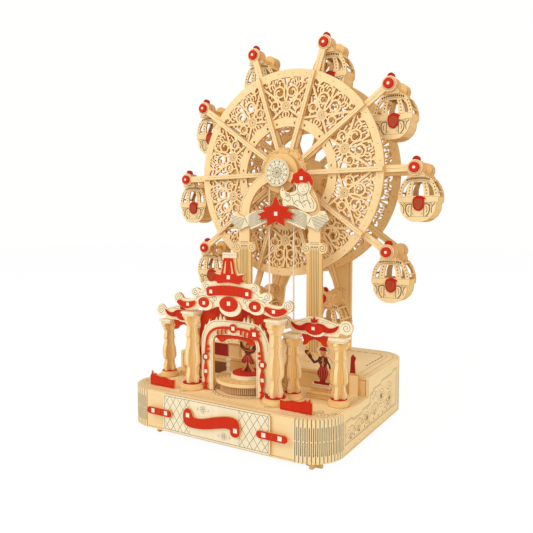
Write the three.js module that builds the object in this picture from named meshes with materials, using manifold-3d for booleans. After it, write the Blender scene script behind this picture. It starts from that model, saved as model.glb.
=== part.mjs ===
// A hand-cranked ferris wheel toy built from laser-cut plywood sheets.
// The crank at the back turns a shaft: a belt takes it up to the wheel, two gears to the stage turntable.
// Millimetres. X runs right along the front, Y away from it, Z up from the feet.
import * as THREE from "three";
import { mergeVertices } from "three/addons/utils/BufferGeometryUtils.js";
import Module from "manifold-3d";

const wasm = await Module();
wasm.setup();

// Sheets and fits
const PLY = 2;
const THIN_PLY = 1.2;
const GAP = 0.3;
const WELD = 1e-4;
const FINE = 5e-3;

// Base
const BASE_WIDTH = 140;
const BASE_DEPTH = 127;
const CORNER_RADIUS = 19.6;
const FOOT_HEIGHT = 3.7;
const LOW_TOP = 26.8;
const HIGH_TOP = 38.3;
const STEP_Y = -8.6;
const FOOT_LENGTH = 9;
const FOOT_SHIFT = 6;
const LATTICE_WIDTH = 73.8;
const PLAQUE_WIDTH = 39;
const PLAQUE_HEIGHT = 11.3;
const CLIP_LENGTH = 19;
const CLIP_WIDTH = 4.2;
const CLIP_X = 38.7;

// Crank and gears
const SHAFT_RADIUS = 1.5;
const SHAFT_Z = 17.5;
const CRANK_THROW = 12;
const GRIP_RADIUS = 4;
const GRIP_LENGTH = 25.2;
const BELT_RADIUS = 9.3;
const BELT_THREAD = 0.4;
const PULLEY_RIM = 1.9;
const HUB_PULLEY_RIM = 3.7;
const PULLEY_WIDTH = 3.8;
const GEAR_TIP = 7;
const GEAR_ROOT = 4.6;
const GEAR_TOOTH = 1.4;
const GEAR_TEETH = 8;

// Wheel
const WHEEL_CLEARANCE = 5.6;
const AXLE_RADIUS = 2;
const RIM_RADIUS = 68;
const BAND_WIDTH = 5.1;
const INNER_RING_RADIUS = 37;
const INNER_RING_WIDTH = 6;
const ARM_LENGTH = 86;
const ARM_WIDTH = 4;
const ARM_EYE = 4.7;
const BAR_WIDTH = 2.7;
const ARMS = 10;
const BRACE_WIDTH = 1.6;
const ROSETTE_RADIUS = 3.8;
const FLOWER_RADIUS = 17.4;
const CAP_RADIUS = 8.9;
const BAR_DISC_RADIUS = 14.5;
const WHEEL_FRONT_Y = 15;
const FRAME_CLEARANCE = 3.6;

// Gondolas
const PIN_RADIUS = 1.2;
const WASHER_RADIUS = 3.3;
const GONDOLA_WIDTH = 24.6;
const GONDOLA_HEIGHT = 26.2;
const GONDOLA_DROP = 4.2;
const SIDE_CLEARANCE = 4.6;

// Front tower
const TOWER_Y = 7;
const LEG_X = 26.5;
const LEG_WIDTH = 8.4;
const PILASTER_WIDTH = 10.8;
const CAPITAL_WIDTH = 17;
const CAPITAL_HEIGHT = 8.2;
const CAPITAL_DROP = 44.6;
const ARCH_RADIUS = 30.5;
const ARCH_INNER_RADIUS = 22.5;
const ARCH_DROP = 28.8;
const ARCH_RISE = 1.8;
const TOWER_HEAD_RADIUS = 8.2;
const HEAD_RADIUS = 13;
const RIBBON_WIDTH = 75;
const RIBBON_HEIGHT = 17.2;
const RIBBON_DROP = 9.5;
const STAR_WIDTH = 28;
const STAR_HEIGHT = 19.9;
const STAR_DROP = 5.9;
const JESTER_X = 15.5;
const JESTER_RISE = 3.1;
const JESTER_WIDTH = 27;
const JESTER_HEIGHT = 27.2;

// Rear frame
const REAR_FRAME_INSET = 9.5;
const REAR_FRAME_WIDTH = 64.6;

// Stage
const COLUMN_X = 29.4;
const COLUMN_Y = -46.5;
const COLUMN_HEIGHT = 47.5;
const COLUMN_WIDTH = 10.2;
const COLUMN_BASE = 15;
const SIDE_COLUMN_HEIGHT = 37.9;
const OUTER_COLUMN_INSET = 9;
const OUTER_COLUMN_Y = -31;
const INNER_COLUMN_X = 33;
const INNER_COLUMN_Y = -33;
const PROSCENIUM_Y = -44.2;
const PROSCENIUM_WIDTH = 48;
const PROSCENIUM_HEIGHT = 43.2;
const PROSCENIUM_OPENING = 31;
const PROSCENIUM_HEAD = 7.2;
const CURTAIN_WIDTH = 50;
const CURTAIN_HEIGHT = 47.6;
const ROOF_Y = -48.5;
const ROOF_WIDTH = 83;
const ROOF_HEIGHT = 36;
const TURNTABLE_Y = -29;
const TURNTABLE_RADIUS = 19.7;
const TURNTABLE_HEIGHT = 10.2;
const DANCER_HEIGHT = 18;
const DANCER_WIDTH = 13;
const BOX_Y = -21;
const BOX_DEPTH = 13;
const BOX_HEIGHT = 6.2;
const JUGGLER_HEIGHT = 23.4;
const JUGGLER_WIDTH = 19.6;
const JUGGLER_SHIFT = 3.6;
const PEDIMENT_OVERHANG = 8.7;
const PEDIMENT_HEIGHT = 16.8;
const SIGN_X = 46.6;
const SIGN_Y = -54.5;
const SIGN_WIDTH = 19.5;
const SIGN_HEIGHT = 7;

// Colours
const BIRCH = 0xe8c896;
const PALE_BIRCH = 0xf0d6a8;
const DARK_BIRCH = 0xc79a5e;
const VERMILION = 0xd63a1e;
const WINE = 0x7a2418;
const THREAD = 0xe9dcc0;
const MATT = 0.75;

// Facets of a full circle by size
const WIDE = 20;
const ROUND = 10;
const SMALL = 4;

const turn = 2 * Math.PI;

function solid(geometry) {
  const plain = geometry.index ? geometry.toNonIndexed() : geometry.clone();
  plain.deleteAttribute("normal");
  plain.deleteAttribute("uv");
  const merged = mergeVertices(plain, WELD);
  const mesh = new wasm.Mesh({
    numProp: 3,
    vertProperties: merged.attributes.position.array,
    triVerts: new Uint32Array(merged.index.array),
  });
  return new wasm.Manifold(mesh);
}

const join = (...bodies) => wasm.Manifold.union(bodies);
const cut = (body, ...tools) => tools.reduce((left, tool) => left.subtract(tool), body);

// Flat outlines: [across, up] pairs turned into shapes that run counter-clockwise
function outline(points) {
  const ordered = points.map(([a, b]) => new THREE.Vector2(a, b));
  if (THREE.ShapeUtils.isClockWise(ordered)) ordered.reverse();
  return new THREE.Shape(ordered);
}
const block = (left, right, low, high) =>
  outline([[left, low], [right, low], [right, high], [left, high]]);

function disc(x, z, radius, facets = ROUND) {
  const points = [];
  for (let i = 0; i < 2 * facets; i++) {
    const angle = (turn * i) / (2 * facets);
    points.push([x + radius * Math.cos(angle), z + radius * Math.sin(angle)]);
  }
  return outline(points);
}

function ring(x, z, outer, inner, facets = ROUND) {
  const shape = disc(x, z, outer, facets);
  shape.holes.push(disc(x, z, inner, facets));
  return shape;
}

// A straight strip between two points
function stroke([x1, z1], [x2, z2], width) {
  const length = Math.hypot(x2 - x1, z2 - z1);
  const nx = (((z1 - z2) / length) * width) / 2;
  const nz = (((x2 - x1) / length) * width) / 2;
  return outline([[x1 - nx, z1 - nz], [x2 - nx, z2 - nz], [x2 + nx, z2 + nz], [x1 + nx, z1 + nz]]);
}

function roundedBlock(width, depth, radius, facets) {
  const points = [];
  const corners = [[1, -1, -0.25], [1, 1, 0], [-1, 1, 0.25], [-1, -1, 0.5]];
  for (const [sx, sy, from] of corners) {
    for (let i = 0; i <= facets; i++) {
      const angle = turn * (from + (0.25 * i) / facets);
      const x = sx * (width / 2 - radius) + radius * Math.cos(angle);
      points.push([x, sy * (depth / 2 - radius) + radius * Math.sin(angle)]);
    }
  }
  return outline(points);
}

// An outline given as shares of a width and a height, from its middle and its foot
const scaled = (shares, width, height, x = 0, z = 0) =>
  outline(shares.map(([a, b]) => [x + a * width, z + b * height]));

// A half outline mirrored to the other side
const mirrored = (shares) => {
  const others = shares.filter(([a]) => a !== 0).map(([a, b]) => [-a, b]);
  return [...shares, ...others.reverse()];
};

const extruded = (shape, depth) => new THREE.ExtrudeGeometry(shape, { depth, bevelEnabled: false });

// Sheets standing across the toy, lying flat, and standing along it
function upright(shape, front, thickness) {
  const geometry = extruded(shape, thickness);
  geometry.rotateX(turn / 4);
  geometry.translate(0, front + thickness, 0);
  return solid(geometry);
}

function level(shape, low, thickness) {
  const geometry = extruded(shape, thickness);
  geometry.translate(0, 0, low);
  return solid(geometry);
}

function along(shape, left, thickness) {
  const geometry = extruded(shape, thickness);
  const across = new THREE.Vector3(1, 0, 0);
  const away = new THREE.Vector3(0, 1, 0);
  const up = new THREE.Vector3(0, 0, 1);
  geometry.applyMatrix4(new THREE.Matrix4().makeBasis(away, up, across));
  geometry.translate(left, 0, 0);
  return solid(geometry);
}

const rodY = (x, z, radius, front, length, facets = ROUND) =>
  upright(disc(x, z, radius, facets), front, length);
const rodZ = (x, y, radius, low, height, facets = ROUND) => level(disc(x, y, radius, facets), low, height);

const toy = new THREE.Group();

function piece(name, body, colour) {
  const mesh = body.asOriginal().simplify(FINE).getMesh();
  const indexed = new THREE.BufferGeometry();
  indexed.setAttribute("position", new THREE.BufferAttribute(mesh.vertProperties.slice(), 3));
  indexed.setIndex(new THREE.BufferAttribute(mesh.triVerts.slice(), 1));
  const geometry = indexed.toNonIndexed();
  geometry.computeVertexNormals();
  const material = new THREE.MeshStandardMaterial({ color: colour, roughness: MATT, metalness: 0 });
  const made = new THREE.Mesh(geometry, material);
  made.name = name;
  toy.add(made);
}

// The wheel's hub sits so high that the lowest gondola clears the rear deck
const hubZ = HIGH_TOP + WHEEL_CLEARANCE + GONDOLA_HEIGHT + GONDOLA_DROP + ARM_LENGTH;

// Base: a floor on four crossed feet, two bent skins meeting at the middle, two decks and a riser
const floorTop = FOOT_HEIGHT + PLY;
const lowUnder = LOW_TOP - PLY;
const highUnder = HIGH_TOP - PLY;
const frontY = -BASE_DEPTH / 2;
const backY = BASE_DEPTH / 2;
const insideWidth = BASE_WIDTH - 2 * PLY - 2 * GAP;
const insideDepth = BASE_DEPTH - 2 * PLY - 2 * GAP;
const insideRadius = CORNER_RADIUS - PLY - GAP;
const boreRadius = SHAFT_RADIUS + GAP;
const cornerFacets = 5;
const footX = BASE_WIDTH / 2 - 2 * FOOT_LENGTH;
const rightX = footX + FOOT_SHIFT;
const leftX = FOOT_SHIFT - footX;
const footY = BASE_DEPTH / 2 - FOOT_LENGTH;

function foot(x, y) {
  const reach = FOOT_LENGTH / 2;
  const one = level(block(x - reach, x + reach, y - PLY / 2, y + PLY / 2), 0, FOOT_HEIGHT);
  const other = level(block(x - PLY / 2, x + PLY / 2, y - reach, y + reach), 0, FOOT_HEIGHT);
  return join(one, other);
}

const floorShape = roundedBlock(insideWidth, insideDepth, insideRadius, cornerFacets);
const floorPlate = level(floorShape, FOOT_HEIGHT, PLY);
const feet = [foot(rightX, footY), foot(leftX, footY), foot(rightX, -footY), foot(leftX, -footY)];
piece("base_floor", join(floorPlate, ...feet), DARK_BIRCH);

function wall(low, high) {
  const outer = level(roundedBlock(BASE_WIDTH, BASE_DEPTH, CORNER_RADIUS, cornerFacets), low, high - low);
  const shape = roundedBlock(BASE_WIDTH - 2 * PLY, BASE_DEPTH - 2 * PLY, CORNER_RADIUS - PLY, cornerFacets);
  return cut(outer, level(shape, low - PLY, high - low + 2 * PLY));
}

const lowWall = wall(FOOT_HEIGHT, lowUnder - GAP);
const highWall = wall(FOOT_HEIGHT, highUnder - GAP);
const behindStep = level(block(-BASE_WIDTH, BASE_WIDTH, STEP_Y, BASE_DEPTH), 0, 2 * HIGH_TOP);
const shaftWay = rodY(0, SHAFT_Z, boreRadius, backY - 2 * PLY, 4 * PLY);
const skins = cut(join(lowWall, highWall.intersect(behindStep)), shaftWay);
const leftHalf = level(block(-BASE_WIDTH, -GAP / 2, -BASE_DEPTH, BASE_DEPTH), 0, 2 * HIGH_TOP);
const rightHalf = level(block(GAP / 2, BASE_WIDTH, -BASE_DEPTH, BASE_DEPTH), 0, 2 * HIGH_TOP);
piece("skin_left", skins.intersect(leftHalf), PALE_BIRCH);
piece("skin_right", skins.intersect(rightHalf), PALE_BIRCH);

const deckShape = roundedBlock(BASE_WIDTH, BASE_DEPTH, CORNER_RADIUS, cornerFacets);
const beforeStep = level(block(-BASE_WIDTH, BASE_WIDTH, -BASE_DEPTH, STEP_Y - GAP), 0, 2 * HIGH_TOP);
const pivotWay = rodZ(0, TURNTABLE_Y, boreRadius, 0, 2 * HIGH_TOP);
piece("front_deck", cut(level(deckShape, lowUnder, PLY).intersect(beforeStep), pivotWay), BIRCH);

const beltHalf = BELT_THREAD + 2 * GAP;
const flowerY = WHEEL_FRONT_Y - GAP / 2 - THIN_PLY;
const beltY = flowerY - GAP / 2 - PULLEY_WIDTH / 2;
const beltSlots = [-1, 1].map((side) => {
  const x = side * BELT_RADIUS;
  return level(block(x - beltHalf, x + beltHalf, beltY - beltHalf, beltY + beltHalf), 0, 2 * HIGH_TOP);
});
piece("rear_deck", cut(level(deckShape, highUnder, PLY).intersect(behindStep), ...beltSlots), BIRCH);

const riserShape = block(-insideWidth / 2, insideWidth / 2, floorTop + GAP, highUnder - GAP);
const riserWay = rodY(0, SHAFT_Z, boreRadius, STEP_Y - PLY, 4 * PLY);
piece("step_riser", cut(upright(riserShape, STEP_Y, PLY), riserWay), BIRCH);

// Front face: a lattice plate over the seam, a red scroll plaque and two red clips on it
const plateY = frontY - GAP - THIN_PLY;
const plaqueY = plateY - GAP - THIN_PLY;
const plateLow = FOOT_HEIGHT + THIN_PLY;
const plateShape = block(-LATTICE_WIDTH / 2, LATTICE_WIDTH / 2, plateLow, LOW_TOP);
piece("lattice_plate", upright(plateShape, plateY, THIN_PLY), PALE_BIRCH);

const plaqueZ = (plateLow + LOW_TOP) / 2;
const plaqueShares = [
  [-0.5, 0.22], [-0.46, 0.45], [-0.37, 0.52], [-0.32, 0.38], [-0.31, 0.1], [-0.17, 0.12], [0.03, 0.31],
  [0.24, 0.49], [0.37, 0.54], [0.47, 0.46], [0.5, 0.24], [0.5, -0.27], [0.46, -0.41], [0.38, -0.42],
  [0.345, -0.3], [0.34, -0.07], [0.13, -0.14], [-0.12, -0.39], [-0.32, -0.45], [-0.45, -0.37], [-0.5, -0.16],
];
const plaqueShape = scaled(plaqueShares, PLAQUE_WIDTH, PLAQUE_HEIGHT, -GAP, plaqueZ);
piece("scroll_plaque", upright(plaqueShape, plaqueY, THIN_PLY), VERMILION);

function clip(side) {
  const half = CLIP_LENGTH / 2 - CLIP_WIDTH / 2;
  const x = side * CLIP_X;
  const low = plaqueZ - CLIP_WIDTH / 2;
  const bar = upright(block(x - half, x + half, low, low + CLIP_WIDTH), plaqueY, THIN_PLY);
  const ends = [-half, half].map((end) => rodY(x + end, plaqueZ, CLIP_WIDTH / 2, plaqueY, THIN_PLY, SMALL));
  return join(bar, ...ends);
}
piece("clip_left", clip(-1), VERMILION);
piece("clip_right", clip(1), VERMILION);

// Drive: a shaft from front chamber to back wall, with the gear, the belt pulley and the crank on it
function gear(make) {
  const body = make(disc(0, 0, GEAR_ROOT, ROUND));
  const teeth = [];
  for (let i = 0; i < GEAR_TEETH; i++) {
    const angle = (turn * (i + 0.5)) / GEAR_TEETH;
    const at = (r) => [r * Math.cos(angle), r * Math.sin(angle)];
    teeth.push(make(stroke(at(GEAR_ROOT / 2), at(GEAR_TIP), GEAR_TOOTH)));
  }
  return join(body, ...teeth);
}

const gearReach = TURNTABLE_Y + GEAR_ROOT + GAP;
const shaftFront = gearReach - PLY;
const armY = backY + PLY;
const shaftEnd = armY + PLY + GAP;
piece("crank_shaft", rodY(0, SHAFT_Z, SHAFT_RADIUS, shaftFront, shaftEnd - shaftFront, SMALL), DARK_BIRCH);

const shaftGear = gear((shape) => upright(shape, gearReach, PLY)).translate([0, 0, SHAFT_Z]);
piece("shaft_gear", cut(shaftGear, rodY(0, SHAFT_Z, boreRadius, gearReach - PLY, 3 * PLY)), PALE_BIRCH);

const bearingY = gearReach + 3 * PLY;
const bearingTop = SHAFT_Z + 2 * SHAFT_RADIUS + PLY;
const bearingShape = block(-GEAR_TIP, GEAR_TIP, floorTop + GAP, bearingTop);
const bearingWay = rodY(0, SHAFT_Z, boreRadius, bearingY - PLY, 3 * PLY);
piece("shaft_bearing", cut(upright(bearingShape, bearingY, PLY), bearingWay), BIRCH);

function pulley(z, bore, rim) {
  const flange = BELT_RADIUS + rim;
  const groove = BELT_RADIUS - BELT_THREAD - GAP;
  const front = beltY - PULLEY_WIDTH / 2;
  const way = BELT_THREAD + GAP;
  const first = rodY(0, z, flange, front, beltY - way - front, ROUND);
  const last = rodY(0, z, flange, beltY + way, beltY - way - front, ROUND);
  const core = rodY(0, z, groove, front, PULLEY_WIDTH, ROUND);
  return cut(join(first, last, core), rodY(0, z, bore, front - PLY, PULLEY_WIDTH + 2 * PLY));
}
piece("drive_pulley", pulley(SHAFT_Z, boreRadius, PULLEY_RIM), PALE_BIRCH);

const crankShape = stroke([0, SHAFT_Z], [0, SHAFT_Z + CRANK_THROW], 2 * GRIP_RADIUS);
const crankEyes = [0, CRANK_THROW].map((rise) => rodY(0, SHAFT_Z + rise, GRIP_RADIUS, armY, PLY));
const crankBore = (rise) => rodY(0, SHAFT_Z + rise, boreRadius, armY - PLY, 3 * PLY, SMALL);
const crankBores = [crankBore(0), crankBore(CRANK_THROW)];
piece("crank_arm", cut(join(upright(crankShape, armY, PLY), ...crankEyes), ...crankBores), BIRCH);

const gripY = armY + PLY + GAP;
const gripPin = rodY(0, SHAFT_Z + CRANK_THROW, SHAFT_RADIUS, armY, 2 * PLY, SMALL);
const gripRod = rodY(0, SHAFT_Z + CRANK_THROW, GRIP_RADIUS, gripY, GRIP_LENGTH);
piece("crank_grip", join(gripPin, gripRod), VERMILION);

// Belt: one thread from the crank shaft's pulley through the deck to the wheel's pulley
function beltLoop(radius) {
  const points = [];
  for (let i = 0; i <= ROUND; i++) {
    const angle = (turn * i) / (2 * ROUND);
    points.push([radius * Math.cos(angle), hubZ + radius * Math.sin(angle)]);
  }
  for (let i = ROUND; i <= 2 * ROUND; i++) {
    const angle = (turn * i) / (2 * ROUND);
    points.push([radius * Math.cos(angle), SHAFT_Z + radius * Math.sin(angle)]);
  }
  return outline(points);
}
const beltShape = beltLoop(BELT_RADIUS + BELT_THREAD);
beltShape.holes.push(beltLoop(BELT_RADIUS - BELT_THREAD));
piece("drive_belt", upright(beltShape, beltY - BELT_THREAD, 2 * BELT_THREAD), THREAD);

// Wheel: from front to back a cap, a pulley, a scalloped flower, thin bars, a fretted rim and long arms
const atHub = (body) => body.translate([0, 0, hubZ]);
const axleBore = AXLE_RADIUS + GAP;
const hubWay = rodY(0, 0, axleBore, -BASE_DEPTH, 2 * BASE_DEPTH, SMALL);
const bored = (body) => atHub(cut(body, hubWay));
const polar = (radius, angle) => [radius * Math.cos(angle), radius * Math.sin(angle)];
const armAngle = (i) => (turn * i) / ARMS;

const rimY = WHEEL_FRONT_Y + PLY;
const armsY = rimY + PLY + GAP;
const rearFrameY = backY - REAR_FRAME_INSET;
const wheelBackY = rearFrameY - FRAME_CLEARANCE;
const rearRimY = wheelBackY - PLY;
const rearArmsY = rearRimY - GAP - PLY;
const capY = TOWER_Y - GAP - THIN_PLY;

piece("hub_cap", rodY(0, hubZ, CAP_RADIUS, capY, THIN_PLY, ROUND), PALE_BIRCH);
piece("hub_pulley", pulley(hubZ, axleBore, HUB_PULLEY_RIM), BIRCH);

const petals = [];
const petalRadius = (FLOWER_RADIUS * Math.sin(turn / 24)) / (1 + Math.sin(turn / 24));
for (let i = 0; i < 12; i++) {
  const [x, z] = polar(FLOWER_RADIUS - petalRadius, (turn * i) / 12);
  petals.push(rodY(x, z, petalRadius, flowerY, THIN_PLY, SMALL));
}
const flowerCore = rodY(0, 0, FLOWER_RADIUS - petalRadius, flowerY, THIN_PLY, ROUND);
piece("flower_disc", bored(join(flowerCore, ...petals)), BIRCH);

const barThickness = PLY - GAP;
const bars = [];
for (let i = 0; i < ARMS; i++) {
  bars.push(upright(stroke([0, 0], polar(RIM_RADIUS, armAngle(i)), BAR_WIDTH), WHEEL_FRONT_Y, barThickness));
}
const barDisc = rodY(0, 0, BAR_DISC_RADIUS, WHEEL_FRONT_Y, barThickness, ROUND);
piece("front_bars", bored(join(barDisc, ...bars)), PALE_BIRCH);

// Fretted rim: two rings, a rib behind each bar, and crossed braces with a rosette in each sector
function rim(front) {
  const shapes = [];
  shapes.push(ring(0, 0, RIM_RADIUS, RIM_RADIUS - BAND_WIDTH, WIDE));
  shapes.push(ring(0, 0, INNER_RING_RADIUS, INNER_RING_RADIUS - INNER_RING_WIDTH, WIDE / 2));
  const inner = INNER_RING_RADIUS - INNER_RING_WIDTH / 2;
  const outer = RIM_RADIUS - BAND_WIDTH / 2;
  const low = (INNER_RING_RADIUS + outer) / 2 - INNER_RING_WIDTH;
  const middle = (2 * low * outer * Math.cos(turn / (2 * ARMS))) / (low + outer);
  for (let i = 0; i < ARMS; i++) {
    const here = armAngle(i);
    const next = armAngle(i + 1);
    const half = armAngle(i + 0.5);
    shapes.push(stroke(polar(inner, here), polar(outer, here), BAR_WIDTH));
    shapes.push(stroke(polar(low, here), polar(outer, next), BRACE_WIDTH));
    shapes.push(stroke(polar(low, next), polar(outer, here), BRACE_WIDTH));
    shapes.push(disc(...polar(middle, half), ROSETTE_RADIUS, SMALL));
  }
  return atHub(join(...shapes.map((shape) => upright(shape, front, PLY))));
}
piece("front_rim", rim(rimY), PALE_BIRCH);
piece("rear_rim", rim(rearRimY), BIRCH);

const eyeRadius = PIN_RADIUS + GAP;
function arms(front) {
  const bodies = [rodY(0, 0, HEAD_RADIUS, front, PLY, ROUND)];
  const ways = [];
  for (let i = 0; i < ARMS; i++) {
    const [x, z] = polar(ARM_LENGTH, armAngle(i));
    bodies.push(upright(stroke([0, 0], [x, z], ARM_WIDTH), front, PLY));
    bodies.push(rodY(x, z, ARM_EYE, front, PLY, SMALL + 1));
    ways.push(rodY(x, z, eyeRadius, front - PLY, 3 * PLY, SMALL));
  }
  return bored(cut(join(...bodies), ...ways));
}
piece("front_arms", arms(armsY), PALE_BIRCH);
piece("rear_arms", arms(rearArmsY), BIRCH);

const axleFront = capY + THIN_PLY + GAP;
const axleBack = rearFrameY + PLY + GAP;
const drumFront = armsY + PLY + GAP;
const drumLength = rearArmsY - GAP - drumFront;
const axle = rodY(0, hubZ, AXLE_RADIUS, axleFront, axleBack - axleFront, SMALL);
piece("wheel_axle", join(axle, rodY(0, hubZ, 2 * AXLE_RADIUS, drumFront, drumLength)), DARK_BIRCH);

// Gondolas: each one hangs from its own pin, with the washers that keep the pin in the arms
const washerThickness = armsY - GAP - rimY - GAP;
const hangerFront = drumFront + GAP;
const hangerBack = rearArmsY - 2 * GAP;
const gondolaMiddle = (hangerFront + hangerBack) / 2;
const gondolaDepth = hangerBack - hangerFront - 2 * SIDE_CLEARANCE;
const gondolaShares = mirrored([
  [0.2, 0], [0.36, -0.12], [0.46, -0.32], [0.5, -0.48], [0.5, -0.6], [0.43, -0.68], [0.38, -0.82], [0.24, -1],
]);
const middleWindowShares = mirrored([[0.125, -0.14], [0.175, -0.45]]);
const sideWindowShares = [[0.285, -0.45], [0.375, -0.45], [0.305, -0.14], [0.248, -0.14]];
const bellyShares = mirrored([[0.455, -0.46], [0.455, -0.6], [0.38, -0.7], [0.33, -0.82], [0.21, -0.955]]);

const gondolaShape = scaled(gondolaShares, GONDOLA_WIDTH, GONDOLA_HEIGHT, 0, -GONDOLA_DROP);
const windows = [
  scaled(middleWindowShares, GONDOLA_WIDTH, GONDOLA_HEIGHT, 0, -GONDOLA_DROP),
  scaled(sideWindowShares, GONDOLA_WIDTH, GONDOLA_HEIGHT, 0, -GONDOLA_DROP),
  scaled(sideWindowShares, -GONDOLA_WIDTH, GONDOLA_HEIGHT, 0, -GONDOLA_DROP),
];

function gondola() {
  const front = gondolaMiddle - gondolaDepth / 2;
  const back = gondolaMiddle + gondolaDepth / 2 - THIN_PLY;
  const low = -GONDOLA_DROP - 0.46 * GONDOLA_HEIGHT;
  const keep = upright(block(-GONDOLA_WIDTH, GONDOLA_WIDTH, -2 * GONDOLA_HEIGHT, low), front, gondolaDepth);
  const tub = upright(gondolaShape, front, gondolaDepth).intersect(keep);
  const room = scaled(bellyShares, GONDOLA_WIDTH, GONDOLA_HEIGHT, 0, -GONDOLA_DROP);
  const basket = cut(tub, upright(room, front + THIN_PLY, gondolaDepth - 2 * THIN_PLY));
  const roofHalf = GONDOLA_WIDTH / 5;
  const roofShape = block(-roofHalf, roofHalf, -GONDOLA_DROP - THIN_PLY, -GONDOLA_DROP);
  const roof = upright(roofShape, hangerFront, hangerBack - hangerFront);
  const hangers = [hangerFront, hangerBack - PLY].flatMap((y) => [
    rodY(0, 0, ARM_EYE, y, PLY, SMALL),
    rodY(0, ARM_EYE, ARM_EYE - PLY, y, PLY, SMALL),
    upright(block(-ARM_EYE, ARM_EYE, -GONDOLA_DROP - THIN_PLY, -GONDOLA_DROP / 2), y, PLY),
  ]);
  const pin = rodY(0, 0, PIN_RADIUS, rimY + GAP, rearRimY + PLY - rimY - 2 * GAP, SMALL);
  const washer = (y) => rodY(0, 0, WASHER_RADIUS, y, washerThickness, SMALL);
  const washers = [washer(rimY + GAP), washer(rearRimY + GAP)];
  const panes = windows.map((shape) => upright(shape, front - PLY, gondolaDepth + 2 * PLY));
  const sheets = [front, back].map((y) => cut(upright(gondolaShape, y, THIN_PLY), ...panes));
  return join(basket, roof, pin, ...hangers, ...washers, ...sheets);
}
const car = gondola();
for (let i = 0; i < ARMS; i++) {
  const [x, z] = polar(ARM_LENGTH, armAngle(i));
  piece(`gondola_${i + 1}`, car.translate([x, 0, hubZ + z]), PALE_BIRCH);
}

// Front tower: two pilasters and an arch that carry the front end of the axle
const deckSeat = HIGH_TOP + GAP;
const archZ = hubZ - ARCH_DROP;
const archTopZ = archZ + ARCH_RISE;
const capitalTop = hubZ - CAPITAL_DROP;
function towerFrame() {
  const bodies = [];
  for (const side of [-1, 1]) {
    const x = side * LEG_X;
    const half = LEG_WIDTH / 2;
    bodies.push(upright(block(x - half, x + half, deckSeat, archZ), TOWER_Y, PLY));
    const wide = CAPITAL_WIDTH / 2;
    const flat = PILASTER_WIDTH / 2;
    bodies.push(upright(block(x - flat, x + flat, deckSeat, capitalTop - CAPITAL_HEIGHT / 2), TOWER_Y, PLY));
    bodies.push(upright(block(x - wide, x + wide, capitalTop - CAPITAL_HEIGHT, capitalTop), TOWER_Y, PLY));
    const foot = block(x - half - PLY, x + half + PLY, deckSeat, deckSeat + CAPITAL_HEIGHT / 2);
    bodies.push(upright(foot, TOWER_Y, PLY));
  }
  const arch = cut(rodY(0, archZ, ARCH_RADIUS, TOWER_Y, PLY, WIDE), ...[
    rodY(0, archTopZ, ARCH_INNER_RADIUS, TOWER_Y - PLY, 3 * PLY, WIDE),
    upright(block(-ARCH_RADIUS, ARCH_RADIUS, 0, archZ), TOWER_Y - PLY, 3 * PLY),
  ]);
  bodies.push(arch);
  bodies.push(rodY(0, hubZ, TOWER_HEAD_RADIUS, TOWER_Y, PLY, ROUND));
  return cut(join(...bodies), rodY(0, hubZ, axleBore, TOWER_Y - PLY, 3 * PLY, SMALL));
}
piece("tower_frame", towerFrame(), PALE_BIRCH);

const ribbonY = TOWER_Y - GAP - THIN_PLY;
const crestY = ribbonY - GAP - THIN_PLY;
const ribbonShares = mirrored([
  [0, 1], [0.15, 0.87], [0.337, 0.56], [0.383, 0.62], [0.44, 0.76], [0.5, 0.3], [0.4, 0], [0.288, 0.17],
  [0.269, 0.06], [0.167, 0.26], [0.084, 0.41], [0, 0.44],
]);
const ribbonShape = scaled(ribbonShares, RIBBON_WIDTH, RIBBON_HEIGHT, 0, archZ - RIBBON_DROP);
piece("ribbon", upright(ribbonShape, ribbonY, THIN_PLY), PALE_BIRCH);

const starShares = mirrored([
  [0, 1], [0.114, 0.67], [0.368, 0.62], [0.31, 0.49], [0.5, 0.4], [0.4, 0.32], [0.45, 0.21], [0.232, 0.27],
  [0.232, 0], [0, 0.16],
]);
const starShape = scaled(starShares, STAR_WIDTH, STAR_HEIGHT, 0, archZ - STAR_DROP);
piece("star", upright(starShape, crestY, THIN_PLY), VERMILION);

const jesterShares = [
  [-0.44, 0.61], [-0.38, 0.6], [-0.34, 0.54], [-0.22, 0.55], [-0.09, 0.48], [-0.05, 0.59], [-0.04, 0.68],
  [-0.16, 0.7], [-0.11, 0.8], [0, 0.88], [0.12, 0.9], [0.14, 1], [0.2, 0.91], [0.33, 0.85], [0.41, 0.73],
  [0.37, 0.58], [0.31, 0.54], [0.26, 0.43], [0.36, 0.34], [0.5, 0.15], [0.44, 0], [0.17, 0.01], [-0.05, 0.11],
  [-0.14, 0.15], [-0.33, 0.17], [-0.45, 0.22], [-0.4, 0.34], [-0.5, 0.45],
];
const jesterShape = scaled(jesterShares, JESTER_WIDTH, JESTER_HEIGHT, JESTER_X, archZ + JESTER_RISE);
piece("jester", upright(jesterShape, ribbonY, THIN_PLY), PALE_BIRCH);

// Rear frame: one A-shaped sheet that carries the back end of the axle
const rearShares = mirrored([
  [0, 0.84], [0.23, 0.45], [0.33, 0.34], [0.4, 0], [0.5, 0], [0.5, 0.56], [0.2, 1],
]);
const rearHeight = hubZ - deckSeat;
const rearSheet = upright(scaled(rearShares, REAR_FRAME_WIDTH, rearHeight, 0, deckSeat), rearFrameY, PLY);
const rearHead = rodY(0, hubZ, HEAD_RADIUS, rearFrameY, PLY, ROUND);
const rearWay = rodY(0, hubZ, axleBore, rearFrameY - PLY, 3 * PLY, SMALL);
piece("rear_frame", cut(join(rearSheet, rearHead), rearWay), BIRCH);

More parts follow.
